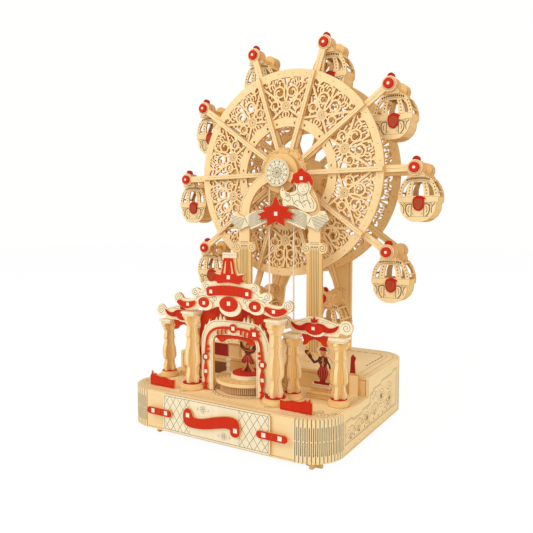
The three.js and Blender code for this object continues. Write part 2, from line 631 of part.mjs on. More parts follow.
// Columns: two crossed baluster sheets between a round base and a square cap
const balusterShares = mirrored([
  [0.4, 0], [0.46, 0.1], [0.42, 0.2], [0.44, 0.27], [0.49, 0.31], [0.49, 0.46], [0.46, 0.53], [0.4, 0.57],
  [0.4, 0.68], [0.46, 0.71], [0.4, 0.75], [0.4, 0.86], [0.49, 0.92], [0.49, 0.97], [0.3, 1],
]);
const balusterClosed = (height) => scaled(balusterShares, COLUMN_WIDTH, height);

function column(x, y, height) {
  const low = LOW_TOP + GAP;
  const baseRadius = (COLUMN_BASE * height) / COLUMN_HEIGHT / 2;
  const baseHeight = PLY + THIN_PLY;
  const capHeight = PLY + THIN_PLY / 2;
  const shaft = height - GAP - baseHeight - capHeight + 2 * THIN_PLY;
  const start = low + baseHeight - THIN_PLY;
  const one = upright(balusterClosed(shaft), y - PLY / 2, PLY).translate([x, 0, start]);
  const other = along(balusterClosed(shaft), x - PLY / 2, PLY).translate([0, y, start]);
  const half = COLUMN_WIDTH / 2;
  const cap = level(block(x - half, x + half, y - half, y + half), LOW_TOP + height - capHeight, capHeight);
  return join(rodZ(x, y, baseRadius, low, baseHeight, ROUND), one, other, cap);
}
const outerColumnX = BASE_WIDTH / 2 - OUTER_COLUMN_INSET;
piece("column_front_left", column(-COLUMN_X, COLUMN_Y, COLUMN_HEIGHT), PALE_BIRCH);
piece("column_front_right", column(COLUMN_X, COLUMN_Y, COLUMN_HEIGHT), PALE_BIRCH);
piece("column_outer_left", column(-outerColumnX, OUTER_COLUMN_Y, SIDE_COLUMN_HEIGHT), PALE_BIRCH);
piece("column_outer_right", column(outerColumnX, OUTER_COLUMN_Y, SIDE_COLUMN_HEIGHT), PALE_BIRCH);
piece("column_inner_left", column(-INNER_COLUMN_X, INNER_COLUMN_Y, SIDE_COLUMN_HEIGHT), PALE_BIRCH);
piece("column_inner_right", column(INNER_COLUMN_X, INNER_COLUMN_Y, SIDE_COLUMN_HEIGHT), PALE_BIRCH);

// Proscenium: an arch board, a red curtain board behind it and a scrolled roof board on the front columns
const stageSeat = LOW_TOP + GAP;
const prosceniumShares = mirrored([
  [0, 1], [0.33, 1], [0.44, 0.94], [0.5, 0.82], [0.5, 0.08], [0.44, 0.08], [0.44, 0],
]);
const openHalf = PROSCENIUM_OPENING / 2;
const openTop = stageSeat + PROSCENIUM_HEIGHT - PROSCENIUM_HEAD;
const prosceniumShape = scaled(prosceniumShares, PROSCENIUM_WIDTH, PROSCENIUM_HEIGHT, 0, stageSeat);
const board = upright(prosceniumShape, PROSCENIUM_Y, PLY);
const openShares = mirrored([[0, 1], [0.3, 1], [0.45, 0.94], [0.5, 0.84], [0.5, -1]]);
const openShape = scaled(openShares, PROSCENIUM_OPENING, openTop - stageSeat, 0, stageSeat);
piece("proscenium", cut(board, upright(openShape, PROSCENIUM_Y - PLY, 3 * PLY)), PALE_BIRCH);

const curtainY = PROSCENIUM_Y + PLY + GAP;
const curtainLow = LOW_TOP + 3 * PLY;
const curtainShares = mirrored([
  [0, 1], [0.3, 1], [0.46, 0.96], [0.46, 0.78], [0.5, 0.74], [0.47, 0.66], [0.5, 0.55], [0.46, 0.44],
  [0.5, 0.33], [0.46, 0.22], [0.5, 0.1], [0.44, 0], [0.38, 0.1], [0.4, 0.44], [0.36, 0.55], [0.31, 0.57],
  [0.25, 0.49], [0.17, 0.5], [0.09, 0.56], [0, 0.55],
]);
const curtainShape = scaled(curtainShares, CURTAIN_WIDTH, CURTAIN_HEIGHT, 0, curtainLow);
piece("curtain", upright(curtainShape, curtainY, THIN_PLY), VERMILION);

const roofSeat = LOW_TOP + COLUMN_HEIGHT + GAP;
const roofShares = mirrored([
  [0, 1], [0.059, 1], [0.059, 0.91], [0.048, 0.89], [0.063, 0.73], [0.124, 0.655], [0.108, 0.59],
  [0.127, 0.53], [0.163, 0.5], [0.2, 0.515], [0.242, 0.455], [0.235, 0.38], [0.26, 0.37], [0.295, 0.395],
  [0.331, 0.385], [0.341, 0.32], [0.325, 0.27], [0.295, 0.25], [0.343, 0.205], [0.398, 0.2], [0.424, 0.23],
  [0.441, 0.29],
  [0.476, 0.292], [0.5, 0.235], [0.496, 0.17], [0.48, 0.135], [0.422, 0.055], [0.361, 0], [0.305, 0.03],
  [0.259, 0.065], [0.205, 0.045], [0.146, 0.075], [0.092, 0.12], [0.049, 0.03], [0, 0],
]);
const roofShape = scaled(roofShares, ROOF_WIDTH, ROOF_HEIGHT, 0, roofSeat);
piece("roof", upright(roofShape, ROOF_Y, PLY), PALE_BIRCH);

// Turntable: a slatted drum with a dancer, turned from below by its own gear
const drumHeight = TURNTABLE_HEIGHT / 2;
const plateRise = stageSeat + drumHeight;
const discRise = plateRise + PLY;
const discTop = LOW_TOP + TURNTABLE_HEIGHT;
const socketDepth = TURNTABLE_HEIGHT * 0.7;
const turntable = join(
  rodZ(0, TURNTABLE_Y, TURNTABLE_RADIUS * 0.88, stageSeat, drumHeight, ROUND),
  rodZ(0, TURNTABLE_Y, TURNTABLE_RADIUS, plateRise, PLY, WIDE / 2),
  rodZ(0, TURNTABLE_Y, TURNTABLE_RADIUS * 0.54, discRise, discTop - discRise, ROUND),
);
const socket = rodZ(0, TURNTABLE_Y, boreRadius, stageSeat - PLY, socketDepth + PLY, SMALL);
piece("turntable", cut(turntable, socket), PALE_BIRCH);

const gearTop = lowUnder - GAP;
const spurGear = gear((shape) => level(shape, gearTop - PLY, PLY));
const meshed = spurGear.rotate([0, 0, 180 / GEAR_TEETH]).translate([0, TURNTABLE_Y, 0]);
const pivotTop = stageSeat + socketDepth - GAP;
const pivot = rodZ(0, TURNTABLE_Y, SHAFT_RADIUS, gearTop - PLY, pivotTop - gearTop + PLY, SMALL);
piece("turntable_gear", join(meshed, pivot), PALE_BIRCH);

const dancerShares = [
  [-0.12, 0], [-0.04, 0], [0, 0.3], [0.12, 0.02], [0.2, 0.02], [0.14, 0.34], [0.34, 0.42], [0.2, 0.6],
  [0.4, 0.86], [0.32, 0.92], [0.12, 0.74], [0.06, 0.8], [0.08, 0.94], [0, 1], [-0.08, 0.94], [-0.06, 0.8],
  [-0.12, 0.74], [-0.36, 0.98], [-0.42, 0.92], [-0.18, 0.6], [-0.34, 0.42], [-0.12, 0.34],
];
const dancerShape = scaled(dancerShares, DANCER_WIDTH, DANCER_HEIGHT, 0, discTop + GAP);
piece("dancer", upright(dancerShape, TURNTABLE_Y - THIN_PLY / 2, THIN_PLY), WINE);

// Side stages: a step box and a pediment on the outer columns, with a juggler on the right one
const columnSpan = outerColumnX - INNER_COLUMN_X;
const sideX = (outerColumnX + INNER_COLUMN_X) / 2;
const boxWidth = columnSpan - COLUMN_BASE * 0.8;
function stepBox(x) {
  const half = boxWidth / 2;
  const front = BOX_Y - BOX_DEPTH / 2;
  const back = BOX_Y + BOX_DEPTH / 2;
  const inset = boxWidth / 8;
  const lower = level(block(x - half, x + half, front, back), stageSeat, BOX_HEIGHT / 2);
  const shape = block(x - half + inset, x + half - inset, front + inset, back - inset);
  return join(lower, level(shape, stageSeat, BOX_HEIGHT - GAP));
}
piece("step_box_left", stepBox(-sideX), BIRCH);
piece("step_box_right", stepBox(sideX), BIRCH);

const jugglerShares = [
  [-0.14, 0.03], [0.4, 0], [0.42, 0.07], [0.28, 0.1], [0.3, 0.22], [0.34, 0.34], [0.26, 0.5], [0.32, 0.56],
  [0.4, 0.42], [0.5, 0.4], [0.48, 0.56], [0.36, 0.7], [0.22, 0.74], [0.32, 0.8], [0.32, 0.93], [0.18, 1],
  [0, 0.98], [0, 0.86], [0.06, 0.76], [-0.1, 0.66], [-0.36, 0.88], [-0.48, 0.88], [-0.5, 0.78], [-0.34, 0.72],
  [-0.2, 0.5], [0.04, 0.54], [0.08, 0.48], [-0.02, 0.34], [0.04, 0.12], [-0.14, 0.1],
];
const boxTop = stageSeat + BOX_HEIGHT - GAP;
const jugglerShape = scaled(jugglerShares, JUGGLER_WIDTH, JUGGLER_HEIGHT, sideX - JUGGLER_SHIFT, boxTop + GAP);
piece("juggler", upright(jugglerShape, BOX_Y - THIN_PLY / 2, THIN_PLY), WINE);

const crestShares = [
  [0, 1], [0.084, 0.98], [0.227, 0.83], [0.32, 0.79], [0.345, 0.86], [0.385, 0.93], [0.432, 0.935],
  [0.48, 0.86], [0.5, 0.71], [0.485, 0.58], [0.44, 0.49], [0.388, 0.49], [0.35, 0.55], [0.31, 0.38],
];
const drapeShares = [
  [0.5, 0.38], [0.48, 0.32], [0.42, 0.12], [0.47, 0.03], [0.4, 0], [0.26, 0.155], [0.12, 0.226], [0, 0.24],
];
const seatShare = 0.38;
const sideTop = LOW_TOP + SIDE_COLUMN_HEIGHT;
const crestWidth = columnSpan + 2 * PEDIMENT_OVERHANG;
const drapeWidth = columnSpan - COLUMN_WIDTH - 2 * GAP;
const crest = crestShares.map(([a, b]) => [a * crestWidth, b * PEDIMENT_HEIGHT]);
const drape = drapeShares.map(([a, b]) => [a * drapeWidth, b * PEDIMENT_HEIGHT]);
const pedimentY = INNER_COLUMN_Y;
const pedimentZ = sideTop + GAP - seatShare * PEDIMENT_HEIGHT;
for (const [name, side] of [["pediment_left", -1], ["pediment_right", 1]]) {
  const shape = scaled(mirrored([...crest, ...drape]), 1, 1, side * sideX, pedimentZ);
  piece(name, upright(shape, pedimentY, THIN_PLY), PALE_BIRCH);
}

// Signs: two bare red boards on the low deck beside the arch
const signShares = [[-0.5, 0], [0.5, 0], [0.5, 0.8], [0.3, 0.7], [0, 0.82], [-0.3, 0.72], [-0.5, 1]];
const signLeft = scaled(signShares, SIGN_WIDTH, SIGN_HEIGHT, -SIGN_X, stageSeat);
const signRight = scaled(signShares, -SIGN_WIDTH, SIGN_HEIGHT, SIGN_X, stageSeat);
piece("sign_left", upright(signLeft, SIGN_Y, THIN_PLY), VERMILION);
piece("sign_right", upright(signRight, SIGN_Y, THIN_PLY), VERMILION);

// The origin sits under the middle of the whole toy, between the plaque and the end of the grip
toy.position.y = -(plaqueY + gripY + GRIP_LENGTH) / 2;

export default toy;
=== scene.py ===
# A hand-cranked ferris wheel toy of laser-cut plywood: base, stage, belt-driven wheel and ten gondolas.
# Sizes are millimetres, with X right, Y back and Z up as in the frame, and become metres on the way out.
import math

import bpy
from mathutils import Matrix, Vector
from mathutils.geometry import delaunay_2d_cdt


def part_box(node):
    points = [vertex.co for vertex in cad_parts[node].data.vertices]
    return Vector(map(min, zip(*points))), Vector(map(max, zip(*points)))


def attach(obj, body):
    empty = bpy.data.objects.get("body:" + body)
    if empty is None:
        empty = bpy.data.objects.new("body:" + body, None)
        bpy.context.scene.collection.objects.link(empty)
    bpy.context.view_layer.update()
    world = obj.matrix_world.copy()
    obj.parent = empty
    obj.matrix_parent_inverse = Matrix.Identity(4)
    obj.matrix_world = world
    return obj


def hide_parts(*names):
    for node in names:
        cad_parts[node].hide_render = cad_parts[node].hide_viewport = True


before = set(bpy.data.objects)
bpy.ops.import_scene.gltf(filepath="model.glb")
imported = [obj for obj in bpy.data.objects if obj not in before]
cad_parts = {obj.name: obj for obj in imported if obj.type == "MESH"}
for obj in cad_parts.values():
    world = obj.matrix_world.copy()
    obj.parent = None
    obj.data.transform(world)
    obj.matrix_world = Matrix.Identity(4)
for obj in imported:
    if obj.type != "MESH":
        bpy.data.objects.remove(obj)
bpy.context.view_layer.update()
MM = 0.001


# Base floor: a bare plywood plate on four crossed feet, which closes the box from below.
# Two millimetre basswood ply, sawn by laser, so its faces are pale and streaked and its edges browned.
# The feet plug into slots of the plate, and the riser between the decks is of the same tan ply.
class Value:
    """A value in a material's node tree, for sums that are written as plain expressions."""

    def __init__(self, tree, socket=None):
        self.tree = tree
        self.socket = socket

    def node(self, kind, settings, inputs, output=0):
        made = self.tree.nodes.new(kind)
        for name, value in settings.items():
            setattr(made, name, value)
        for key, value in inputs.items():
            if isinstance(value, Value):
                self.tree.links.new(value.socket, made.inputs[key])
            else:
                made.inputs[key].default_value = value
        return Value(self.tree, made.outputs[output])

    def maths(self, operation, first, second):
        return self.node("ShaderNodeMath", {"operation": operation}, {0: first, 1: second})

    def __add__(self, other):
        return self.maths("ADD", self, other)

    __radd__ = __add__

    def __sub__(self, other):
        return self.maths("SUBTRACT", self, other)

    def __rsub__(self, other):
        return self.maths("SUBTRACT", other, self)

    def __mul__(self, other):
        return self.maths("MULTIPLY", self, other)

    __rmul__ = __mul__

    def mix(self, first, second):
        settings = {"data_type": "RGBA"}
        return self.node("ShaderNodeMix", settings, {0: self, 6: first, 7: second}, 2)


def colour(red, green, blue):
    """A colour as it is seen on a screen, 0 to 255, made linear."""
    linear = []
    for part in (red, green, blue):
        share = part / 255
        linear.append(share / 12.92 if share <= 0.04045 else ((share + 0.055) / 1.055) ** 2.4)
    return (*linear, 1.0)


UP = (1.0, 1.0, 0.05)
ACROSS = (0.05, 1.0, 1.0)
EVEN = (1.0, 1.0, 1.0)
BARE = 0.62
PRINTED = 0.8
STREAK = 0.7
finishes = {}


def add_finish(short, name, light, dark, fibre=UP, roughness=BARE):
    """Wood or paint on wood: long fibres along one axis over a slow change of tone."""
    material = bpy.data.materials.new(name)
    material.use_nodes = True
    tree = material.node_tree
    start = Value(tree)
    place = start.node("ShaderNodeTexCoord", {}, {}, "Object")
    stretched = start.node("ShaderNodeMapping", {}, {"Vector": place, "Scale": fibre})
    fibres = start.node("ShaderNodeTexNoise", {}, {"Vector": stretched, "Scale": 1500.0, "Detail": 3.0})
    bands = start.node("ShaderNodeTexNoise", {}, {"Vector": stretched, "Scale": 320.0, "Detail": 2.0})
    clouds = start.node("ShaderNodeTexNoise", {}, {"Vector": place, "Scale": 38.0, "Detail": 2.0})
    tone = STREAK * (fibres * 0.5 + bands * 0.5) + (1 - STREAK) * clouds
    steep = start.node("ShaderNodeMapRange", {"clamp": True}, {0: tone, 1: 0.3, 2: 0.7})
    bump = start.node("ShaderNodeBump", {}, {"Height": fibres, "Strength": 0.12, "Distance": 0.0002})
    shader = tree.nodes["Principled BSDF"]
    tree.links.new(steep.mix(colour(*light), colour(*dark)).socket, shader.inputs["Base Color"])
    tree.links.new((roughness - 0.1 + 0.2 * fibres).socket, shader.inputs["Roughness"])
    tree.links.new(bump.socket, shader.inputs["Normal"])
    shader.inputs["Specular IOR Level"].default_value = 0.3
    finishes[short] = material


add_finish("pale", "pale_ply", (255, 229, 176), (250, 212, 150), ACROSS)
add_finish("pale_up", "pale_ply_upright", (255, 229, 176), (250, 212, 150))
add_finish("tan", "tan_ply", (250, 213, 148), (236, 190, 116), ACROSS)
# The upright tan is darker ply, and it is also painted shade on the columns behind the front pair and on the
# sideways sheet of each column.
add_finish("tan_up", "tan_ply_and_shade_upright", (250, 213, 148), (236, 190, 116))
add_finish("edge", "lasered_edge", (236, 188, 118), (205, 146, 78), EVEN)
add_finish("inside", "shaded_ply", (208, 156, 92), (176, 122, 66), ACROSS)


def dress(node, *names):
    """A node of the frame keeps its shape and gets these finishes in its slots."""
    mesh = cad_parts[node].data
    mesh.materials.clear()
    for name in names:
        mesh.materials.append(finishes[name])


dress("base_floor", "tan")
dress("step_riser", "tan")


# Base walls: two ply skins, each bent round two corners, that meet at the middle of the front and the back.
# Rows of staggered slits let the flat skin bend, and a thin sheet behind them shows as grey lines.
# A stepped frame and fairground ornament are engraved on the flat of each side.
def ink(points, width=0.32, closed=False, finish="ink"):
    """An engraved or printed line: one thin rectangle for each stretch of it."""
    layers = []
    count = len(points)
    for i in range(count if closed else count - 1):
        a, b = Vector(points[i]), Vector(points[(i + 1) % count])
        along = b - a
        if along.length < 1e-6:
            continue
        along.normalize()
        side = Vector((-along.y, along.x)) * width / 2
        past = along * width * 0.4
        layers.append(([a - past - side, b + past - side, b + past + side, a - past + side], finish))
    return layers


def on_circle(x, y, radius, degrees):
    angle = math.radians(degrees)
    return (x + radius * math.cos(angle), y + radius * math.sin(angle))


def arc(x, y, radius, start=0, end=360, steps=24):
    """Points round a centre, between two angles in degrees."""
    return [on_circle(x, y, radius, start + (end - start) * i / steps) for i in range(steps + 1)]


def disc(x, y, radius, steps=24):
    return arc(x, y, radius, 0, 360, steps)[:-1]


def block(left, right, low, high):
    return [(left, low), (right, low), (right, high), (left, high)]


def spiral(x, y, outer, inner, start, end, steps=22):
    """Points of a curl that closes in on its centre."""
    points = []
    for i in range(steps + 1):
        share = i / steps
        points.append(on_circle(x, y, outer + (inner - outer) * share, start + (end - start) * share))
    return points


def mirrored(layers):
    return [([(-x, y) for x, y in shape], finish) for shape, finish in layers]


def star(x, y, outer, inner, points, turn=90):
    radii = (outer, inner) * points
    return [on_circle(x, y, radius, turn + 180 * i / points) for i, radius in enumerate(radii)]


class Sheets:
    """One piece made of flat sheets, each cut from a drawing of layered shapes."""

    def __init__(self):
        self.points = []
        self.faces = []
        self.finishes = []

    def face(self, layers, creases=()):
        """The drawing's triangles: wood is added, a cut takes it away, and any other finish lies on it."""
        corners, outlines, edges = [], [], []
        for shape, _ in layers:
            spots = [Vector(spot) for spot in shape]
            area = sum(a.x * b.y - b.x * a.y for a, b in zip(spots, spots[1:] + spots[:1]))
            if area < 0:
                spots.reverse()
            outlines.append(list(range(len(corners), len(corners) + len(spots))))
            corners += spots
        for a, b in creases:
            edges.append((len(corners), len(corners) + 1))
            corners += [Vector(a), Vector(b)]
        spots, _, triangles, _, _, owners = delaunay_2d_cdt(corners, edges, outlines, 0, 1e-4)
        kept = []
        for triangle, owner in zip(triangles, owners):
            finish = None
            for layer in sorted(owner):
                role = layers[layer][1]
                if role == "cut":
                    finish = None
                elif role.startswith("wood:"):
                    finish = role[5:]
                elif finish is not None:
                    finish = role
            if finish is not None:
                kept.append((triangle, finish))
        return spots, kept

    def add(self, layers, place, thickness, edge="edge", creases=(), back=None, open_edge=None):
        """Cuts the drawing from a sheet: place turns (across, up, depth) into a point of the toy."""
        spots, kept = self.face(layers, creases)
        first = len(self.points)
        count = len(spots)
        self.points += [place(spot.x, spot.y, 0.0) for spot in spots]
        self.points += [place(spot.x, spot.y, thickness) for spot in spots]
        sides = {}
        for triangle, finish in kept:
            a, b, c = (first + corner for corner in triangle)
            self.faces += [(a, b, c), (c + count, b + count, a + count)]
            self.finishes += [finish, back or edge]
            for pair in ((a, b), (b, c), (c, a)):
                sides[pair] = True
        for a, b in sides:
            if (b, a) in sides:
                continue
            if open_edge and open_edge(spots[a - first], spots[b - first]):
                continue
            self.faces.append((b, a, a + count, b + count))
            self.finishes.append(edge(spots[a - first], spots[b - first]) if callable(edge) else edge)

    def upright(self, layers, front, thickness, **more):
        self.add(layers, lambda x, z, depth: (x, front + depth, z), thickness, **more)

    def level(self, layers, top, thickness, **more):
        self.add(layers, lambda x, y, depth: (x, y, top - depth), thickness, **more)

    def sideways(self, layers, right, thickness, **more):
        self.add(layers, lambda y, z, depth: (right - depth, y, z), thickness, **more)

    def mesh(self, name):
        made = bpy.data.meshes.new(name)
        kept = sorted({corner for face in self.faces for corner in face})
        number = {corner: i for i, corner in enumerate(kept)}
        spots = [[MM * part for part in self.points[corner]] for corner in kept]
        made.from_pydata(spots, [], [[number[corner] for corner in face] for face in self.faces])
        used = sorted(set(self.finishes))
        for finish in used:
            made.materials.append(finishes[finish])
        made.polygons.foreach_set("material_index", [used.index(finish) for finish in self.finishes])
        made.validate()
        return made


def show(name, mesh, body, slot, *nodes):
    """Puts a finished mesh in the scene, riding on its body in place of the frame's own nodes."""
    piece = bpy.data.objects.new(name, mesh)
    bpy.context.scene.collection.objects.link(piece)
    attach(piece, body)
    if nodes:
        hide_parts(*nodes)
    return piece


def reach(node):
    """A node's lowest and highest corner in millimetres."""
    low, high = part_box(node)
    return low / MM, high / MM


PLY = 2.0
add_finish("ink", "engraved_line", (150, 128, 92), (120, 96, 62), roughness=PRINTED)
add_finish("char", "slit_wall", (206, 206, 188), (172, 174, 158), EVEN, PRINTED)
add_finish("slot", "open_slot", (122, 84, 44), (84, 54, 26), roughness=0.9)
add_finish("burn", "burnt_line", (168, 112, 58), (128, 78, 38), roughness=PRINTED)

wall_low, wall_high = reach("skin_right")
half_width = wall_high.x
wall_front, wall_back = wall_low.y, wall_high.y
corner = 19.6
front_run = half_width - corner
bend = corner * math.pi / 2
side_run = wall_back - wall_front - 2 * corner
low_top = reach("front_deck")[1].z
high_top = reach("rear_deck")[1].z
step_y = reach("step_riser")[0].y
side_start = front_run + bend
side_end = side_start + side_run
step_run = side_start + step_y - wall_front - corner
back_start = side_end + bend
whole_run = back_start + front_run


def round_the_box(run, z, depth):
    """A point of the right skin: run is the way along it from the middle of the front."""
    radius = corner - depth
    if run < front_run:
        return (run, wall_front + depth, z)
    if run < side_start:
        angle = (run - front_run) / corner - math.pi / 2
        x, y = front_run, wall_front + corner
    elif run < side_end:
        return (half_width - depth, wall_front + corner + run - side_start, z)
    elif run < back_start:
        angle = (run - side_end) / corner
        x, y = front_run, wall_back - corner
    else:
        return (whole_run - run, wall_back - depth, z)
    return (x + radius * math.cos(angle), y + radius * math.sin(angle), z)


seam = 0.15
skin = [(block(seam, whole_run - seam, wall_low.z, low_top), "wood:pale")]
skin.append((block(step_run, whole_run - seam, low_top - 0.1, high_top), "wood:pale"))

# Long slits stop short of both edges, and pairs of short ones between them run out over the edges
SLITS = 28
slit_pitch = bend / SLITS
uncut = 4.0
for start, top in ((front_run, low_top), (side_end, high_top)):
    middle = (wall_low.z + top) / 2
    long_slit = [(wall_low.z + uncut, top - uncut, 0.27)]
    short_slits = [(wall_low.z - 1, middle - 0.3, 0.24), (middle + 0.3, top + 1, 0.24)]
    for i in range(SLITS):
        run = start + (i + 0.5) * slit_pitch
        for low, high, half_wide in long_slit if i % 2 else short_slits:
            skin.append((block(run - half_wide, run + half_wide, low, high), "cut"))
shaft_height, shaft_hole = 17.5, 2.0
skin.append((disc(whole_run, shaft_height, shaft_hole), "cut"))
foot_line = wall_low.z + 1.1
for start, end in ((0, front_run), (side_start, side_end)):
    skin += ink([(start, foot_line), (end, foot_line)], 0.2, finish="burn")

# The engraved frame steps up to the rear and holds fans, rosettes, curls and a row of stars
panel = [(side_start + 1.5, 9.6), (side_end - 3, 9.6), (side_end - 3, 33.5), (side_end - 10, 33.5)]
panel += [(side_end - 12, 31.8), (step_run + 22, 31.8), (step_run + 20, 30), (step_run + 8, 30)]
panel += [(step_run + 6, 28), (step_run + 2.5, 28), (step_run + 2.5, 22.3), (step_run - 9, 22.3)]
panel += [(step_run - 11, 20.8), (side_start + 12, 20.8), (side_start + 10, 22.3), (side_start + 1.5, 22.3)]
skin += ink(panel, 0.34, closed=True)
inner = [(x + (0.9 if x < step_run else -0.9), z + (0.9 if z < 12 else -0.9)) for x, z in panel]
skin += ink(inner, 0.16, closed=True)
for x, z in ((side_start + 9, 10.7), (side_start + 20, 11.5), (step_run + 10, 13.5)):
    for angle in range(150, 10, -20):
        tip = on_circle(x, z, 6.4, angle)
        skin += ink([(x, z), tip], 0.22)
        skin += ink(arc(*tip, 1.1, angle - 80, angle + 80, 6), 0.26)
    skin += ink(arc(x, z, 3.2, 25, 155, 10), 0.22)
for x, z, radius in ((side_start + 33, 15.4, 3.4), (step_run + 21, 22, 4.6), (step_run + 36, 17.0, 3.8)):
    skin += ink(disc(x, z, radius, 20), 0.28, closed=True)
    skin += ink(disc(x, z, radius * 0.62, 16), 0.2, closed=True)
    skin.append((star(x, z, radius * 0.58, radius * 0.26, 6), "ink"))
    for angle in range(0, 360, 45):
        skin += ink(arc(*on_circle(x, z, radius + 1.3, angle), 0.9, angle - 90, angle + 90, 6), 0.2)
curl_places = ((step_run + 8, 25.5, 0), (step_run + 34, 26.2, 180), (step_run + 29, 14.5, 0))
curl_places += ((side_start + 27, 17, 180),)
for x, z, turn in curl_places:
    skin += ink(spiral(x, z, 3.4, 0.7, turn, turn + 450), 0.26)
    skin += ink(spiral(x + 4.6, z - 0.6, 2.4, 0.5, turn + 180, turn - 240), 0.22)
for i in range(9):
    x = side_start + 14 + i * 7.5
    skin.append((star(x, 11.6, 0.9, 0.4, 5), "ink"))
    skin += ink([(x, 6.2), (x + 1.4, 6.2)], 0.18, finish="burn")

# Creases are lines that the bent sheets are divided along, and the backing lies inside the bends
creases = []
for start in (front_run, side_end):
    for i in range(SLITS // 2 + 1):
        run = start + bend * i / (SLITS // 2)
        creases.append(((run, wall_low.z), (run, high_top)))
backing = [(block(front_run, side_start, wall_low.z + 1, low_top - 1), "wood:char")]
backing.append((block(side_end, back_start, wall_low.z + 1, high_top - 1), "wood:char"))
backing_depth = 1.1


def rim_or_slit(a, b):
    return "pale" if min(a.y, b.y) > low_top - 0.2 else "char"


def round_the_left(run, z, depth):
    x, y, z = round_the_box(-run, z, depth)
    return (-x, y, z)


def bend_skin(hand, drawing, behind, folds, place):
    sheets = Sheets()
    sheets.add(behind, lambda run, z, depth: place(run, z, backing_depth + depth), 0.5,
               creases=folds, edge="char")
    sheets.add(drawing, place, PLY, creases=folds, edge=rim_or_slit, back="inside")
    show("wall_" + hand, sheets.mesh("wall_" + hand), "base", "pale_birch", "skin_" + hand)


bend_skin("right", skin, backing, creases, round_the_box)
left_creases = [((-a, low), (-b, high)) for (a, low), (b, high) in creases]
bend_skin("left", mirrored(skin), mirrored(backing), left_creases, round_the_left)


# Decks: a low one under the stage and a raised one under the wheel, flush with the bent skins.
# Contour lines follow the rim of each, with hooked slots and curls round the turntable and dashes behind.
# Small pale oblongs are the ends of the tabs that come up through the ply.
deck_low, deck_high = reach("front_deck")
rear_low, rear_high = reach("rear_deck")
table_low, table_high = reach("turntable")
table_y = (table_low.y + table_high.y) / 2
deck_inset = 2.05
beyond = 99


def box_outline(inset, steps=10):
    """The base's rounded outline, seen from above and drawn in by an inset."""
    points = []
    radius = corner - inset
    for x, y, start in ((1, 0, -90), (1, 1, 0), (-1, 1, 90), (-1, 0, 180)):
        middle = wall_back - corner if y else wall_front + corner
        points += arc(x * front_run, middle, radius, start, start + 90, steps)
    return points


def contour(inset, low_y, high_y, width):
    """A line along the outline where it lies between two depths of the toy."""
    layers = []
    points = box_outline(inset, 14)
    for a, b in zip(points, points[1:] + points[:1]):
        if min(a[1], b[1]) < low_y - 0.01 or max(a[1], b[1]) > high_y + 0.01:
            if abs(a[0] - b[0]) > 0.1 or abs(a[0]) < front_run:
                continue
            a = (a[0], min(max(a[1], low_y), high_y))
            b = (b[0], min(max(b[1], low_y), high_y))
        layers += ink([a, b], width, finish="burn")
    return layers


add_finish("white", "pale_tab", (255, 250, 232), (250, 238, 210), ACROSS)


def tab(x, y, wide, tall=None):
    tall = tall or wide
    return [(block(x - wide / 2, x + wide / 2, y - tall / 2, y + tall / 2), "white")]


low_deck = [(box_outline(deck_inset), "wood:pale"), (block(-beyond, beyond, deck_high.y, beyond), "cut")]
low_deck.append((disc(0, table_y, 1.8), "cut"))
for inset, width in ((3.0, 0.22), (4.3, 0.26), (5.6, 0.2), (7.4, 0.16)):
    low_deck += contour(inset, wall_front, deck_high.y - 1.2, width)
for angle in range(0, 360, 10):
    hook = arc(*on_circle(0, table_y, 23.6, angle), 1.7, angle + 110, angle + 250, 6)
    low_deck += ink(hook, 0.36, finish="slot")
low_deck += ink(disc(0, table_y, table_high.x + 0.9, 64), 0.5, closed=True, finish="slot")
deck_curls = ((51, 12.2, 90, 2.2), (55.5, 11.6, 30, 3.0), (61, 13.0, 90, 2.6), (65.5, 17.0, 30, 2.0))
deck_curls += ((57, 17.0, 150, 2.2), (30, 11.0, 0, 2.4))
for side in (-1, 1):
    for across, back, turn, size in deck_curls:
        x, y = side * across, wall_front + back
        curl = spiral(x, y, size, 0.5, 90 - side * turn, 90 - side * (turn - 420))
        low_deck += ink(curl, 0.3, finish="slot")
        low_deck += ink(arc(x, y, size + 0.9, 200, 340, 10), 0.24, finish="slot")
    low_deck += tab(side * 20, wall_front + 14.5, 2.2, 1.4)
    low_deck += tab(side * 43, deck_high.y - 5, 3, 1.4)
front_board = Sheets()
front_board.level(low_deck, deck_high.z, deck_high.z - deck_low.z, edge="pale")
show("low_deck", front_board.mesh("low_deck"), "base", "birch", "front_deck")

belt_low, belt_high = reach("drive_belt")
belt_y = (belt_low.y + belt_high.y) / 2
belt_x = belt_high.x - 0.4
high_deck = [(box_outline(deck_inset), "wood:pale"), (block(-beyond, beyond, -beyond, rear_low.y), "cut")]
for x in (-belt_x, belt_x):
    high_deck.append((block(x - 1, x + 1, belt_y - 1, belt_y + 1), "cut"))
for inset in (4.0, 8.3):
    high_deck += contour(inset, rear_low.y + 1.5, wall_back, 0.24)
high_deck += ink([(-66, rear_low.y + 2), (66, rear_low.y + 2)], 0.2, finish="burn")

# Dashes run along both sides and the back, and round the corners between them
dash, dash_inset, corner_inset = 2.8, 11.5, 19
dashes = []
for i in range(6):
    x, y = half_width - dash_inset, wall_back - corner_inset - 5 * i
    dashes += ink([(x, y), (x, y - dash)], 0.8, finish="slot")
for i in range(5):
    x, y = half_width - corner_inset - 5 * i, wall_back - dash_inset
    dashes += ink([(x, y), (x - dash, y)], 0.8, finish="slot")
curve = arc(half_width - corner_inset, wall_back - corner_inset, corner_inset - dash_inset, 90, 0, 6)
for a, b in zip(curve[::2], curve[1::2]):
    dashes += ink([a, b], 0.8, finish="slot")
high_deck += dashes + mirrored(dashes)
rear_board = Sheets()
rear_board.level(high_deck, rear_high.z, rear_high.z - rear_low.z, edge="tan")
show("raised_deck", rear_board.mesh("raised_deck"), "base", "birch", "rear_deck")


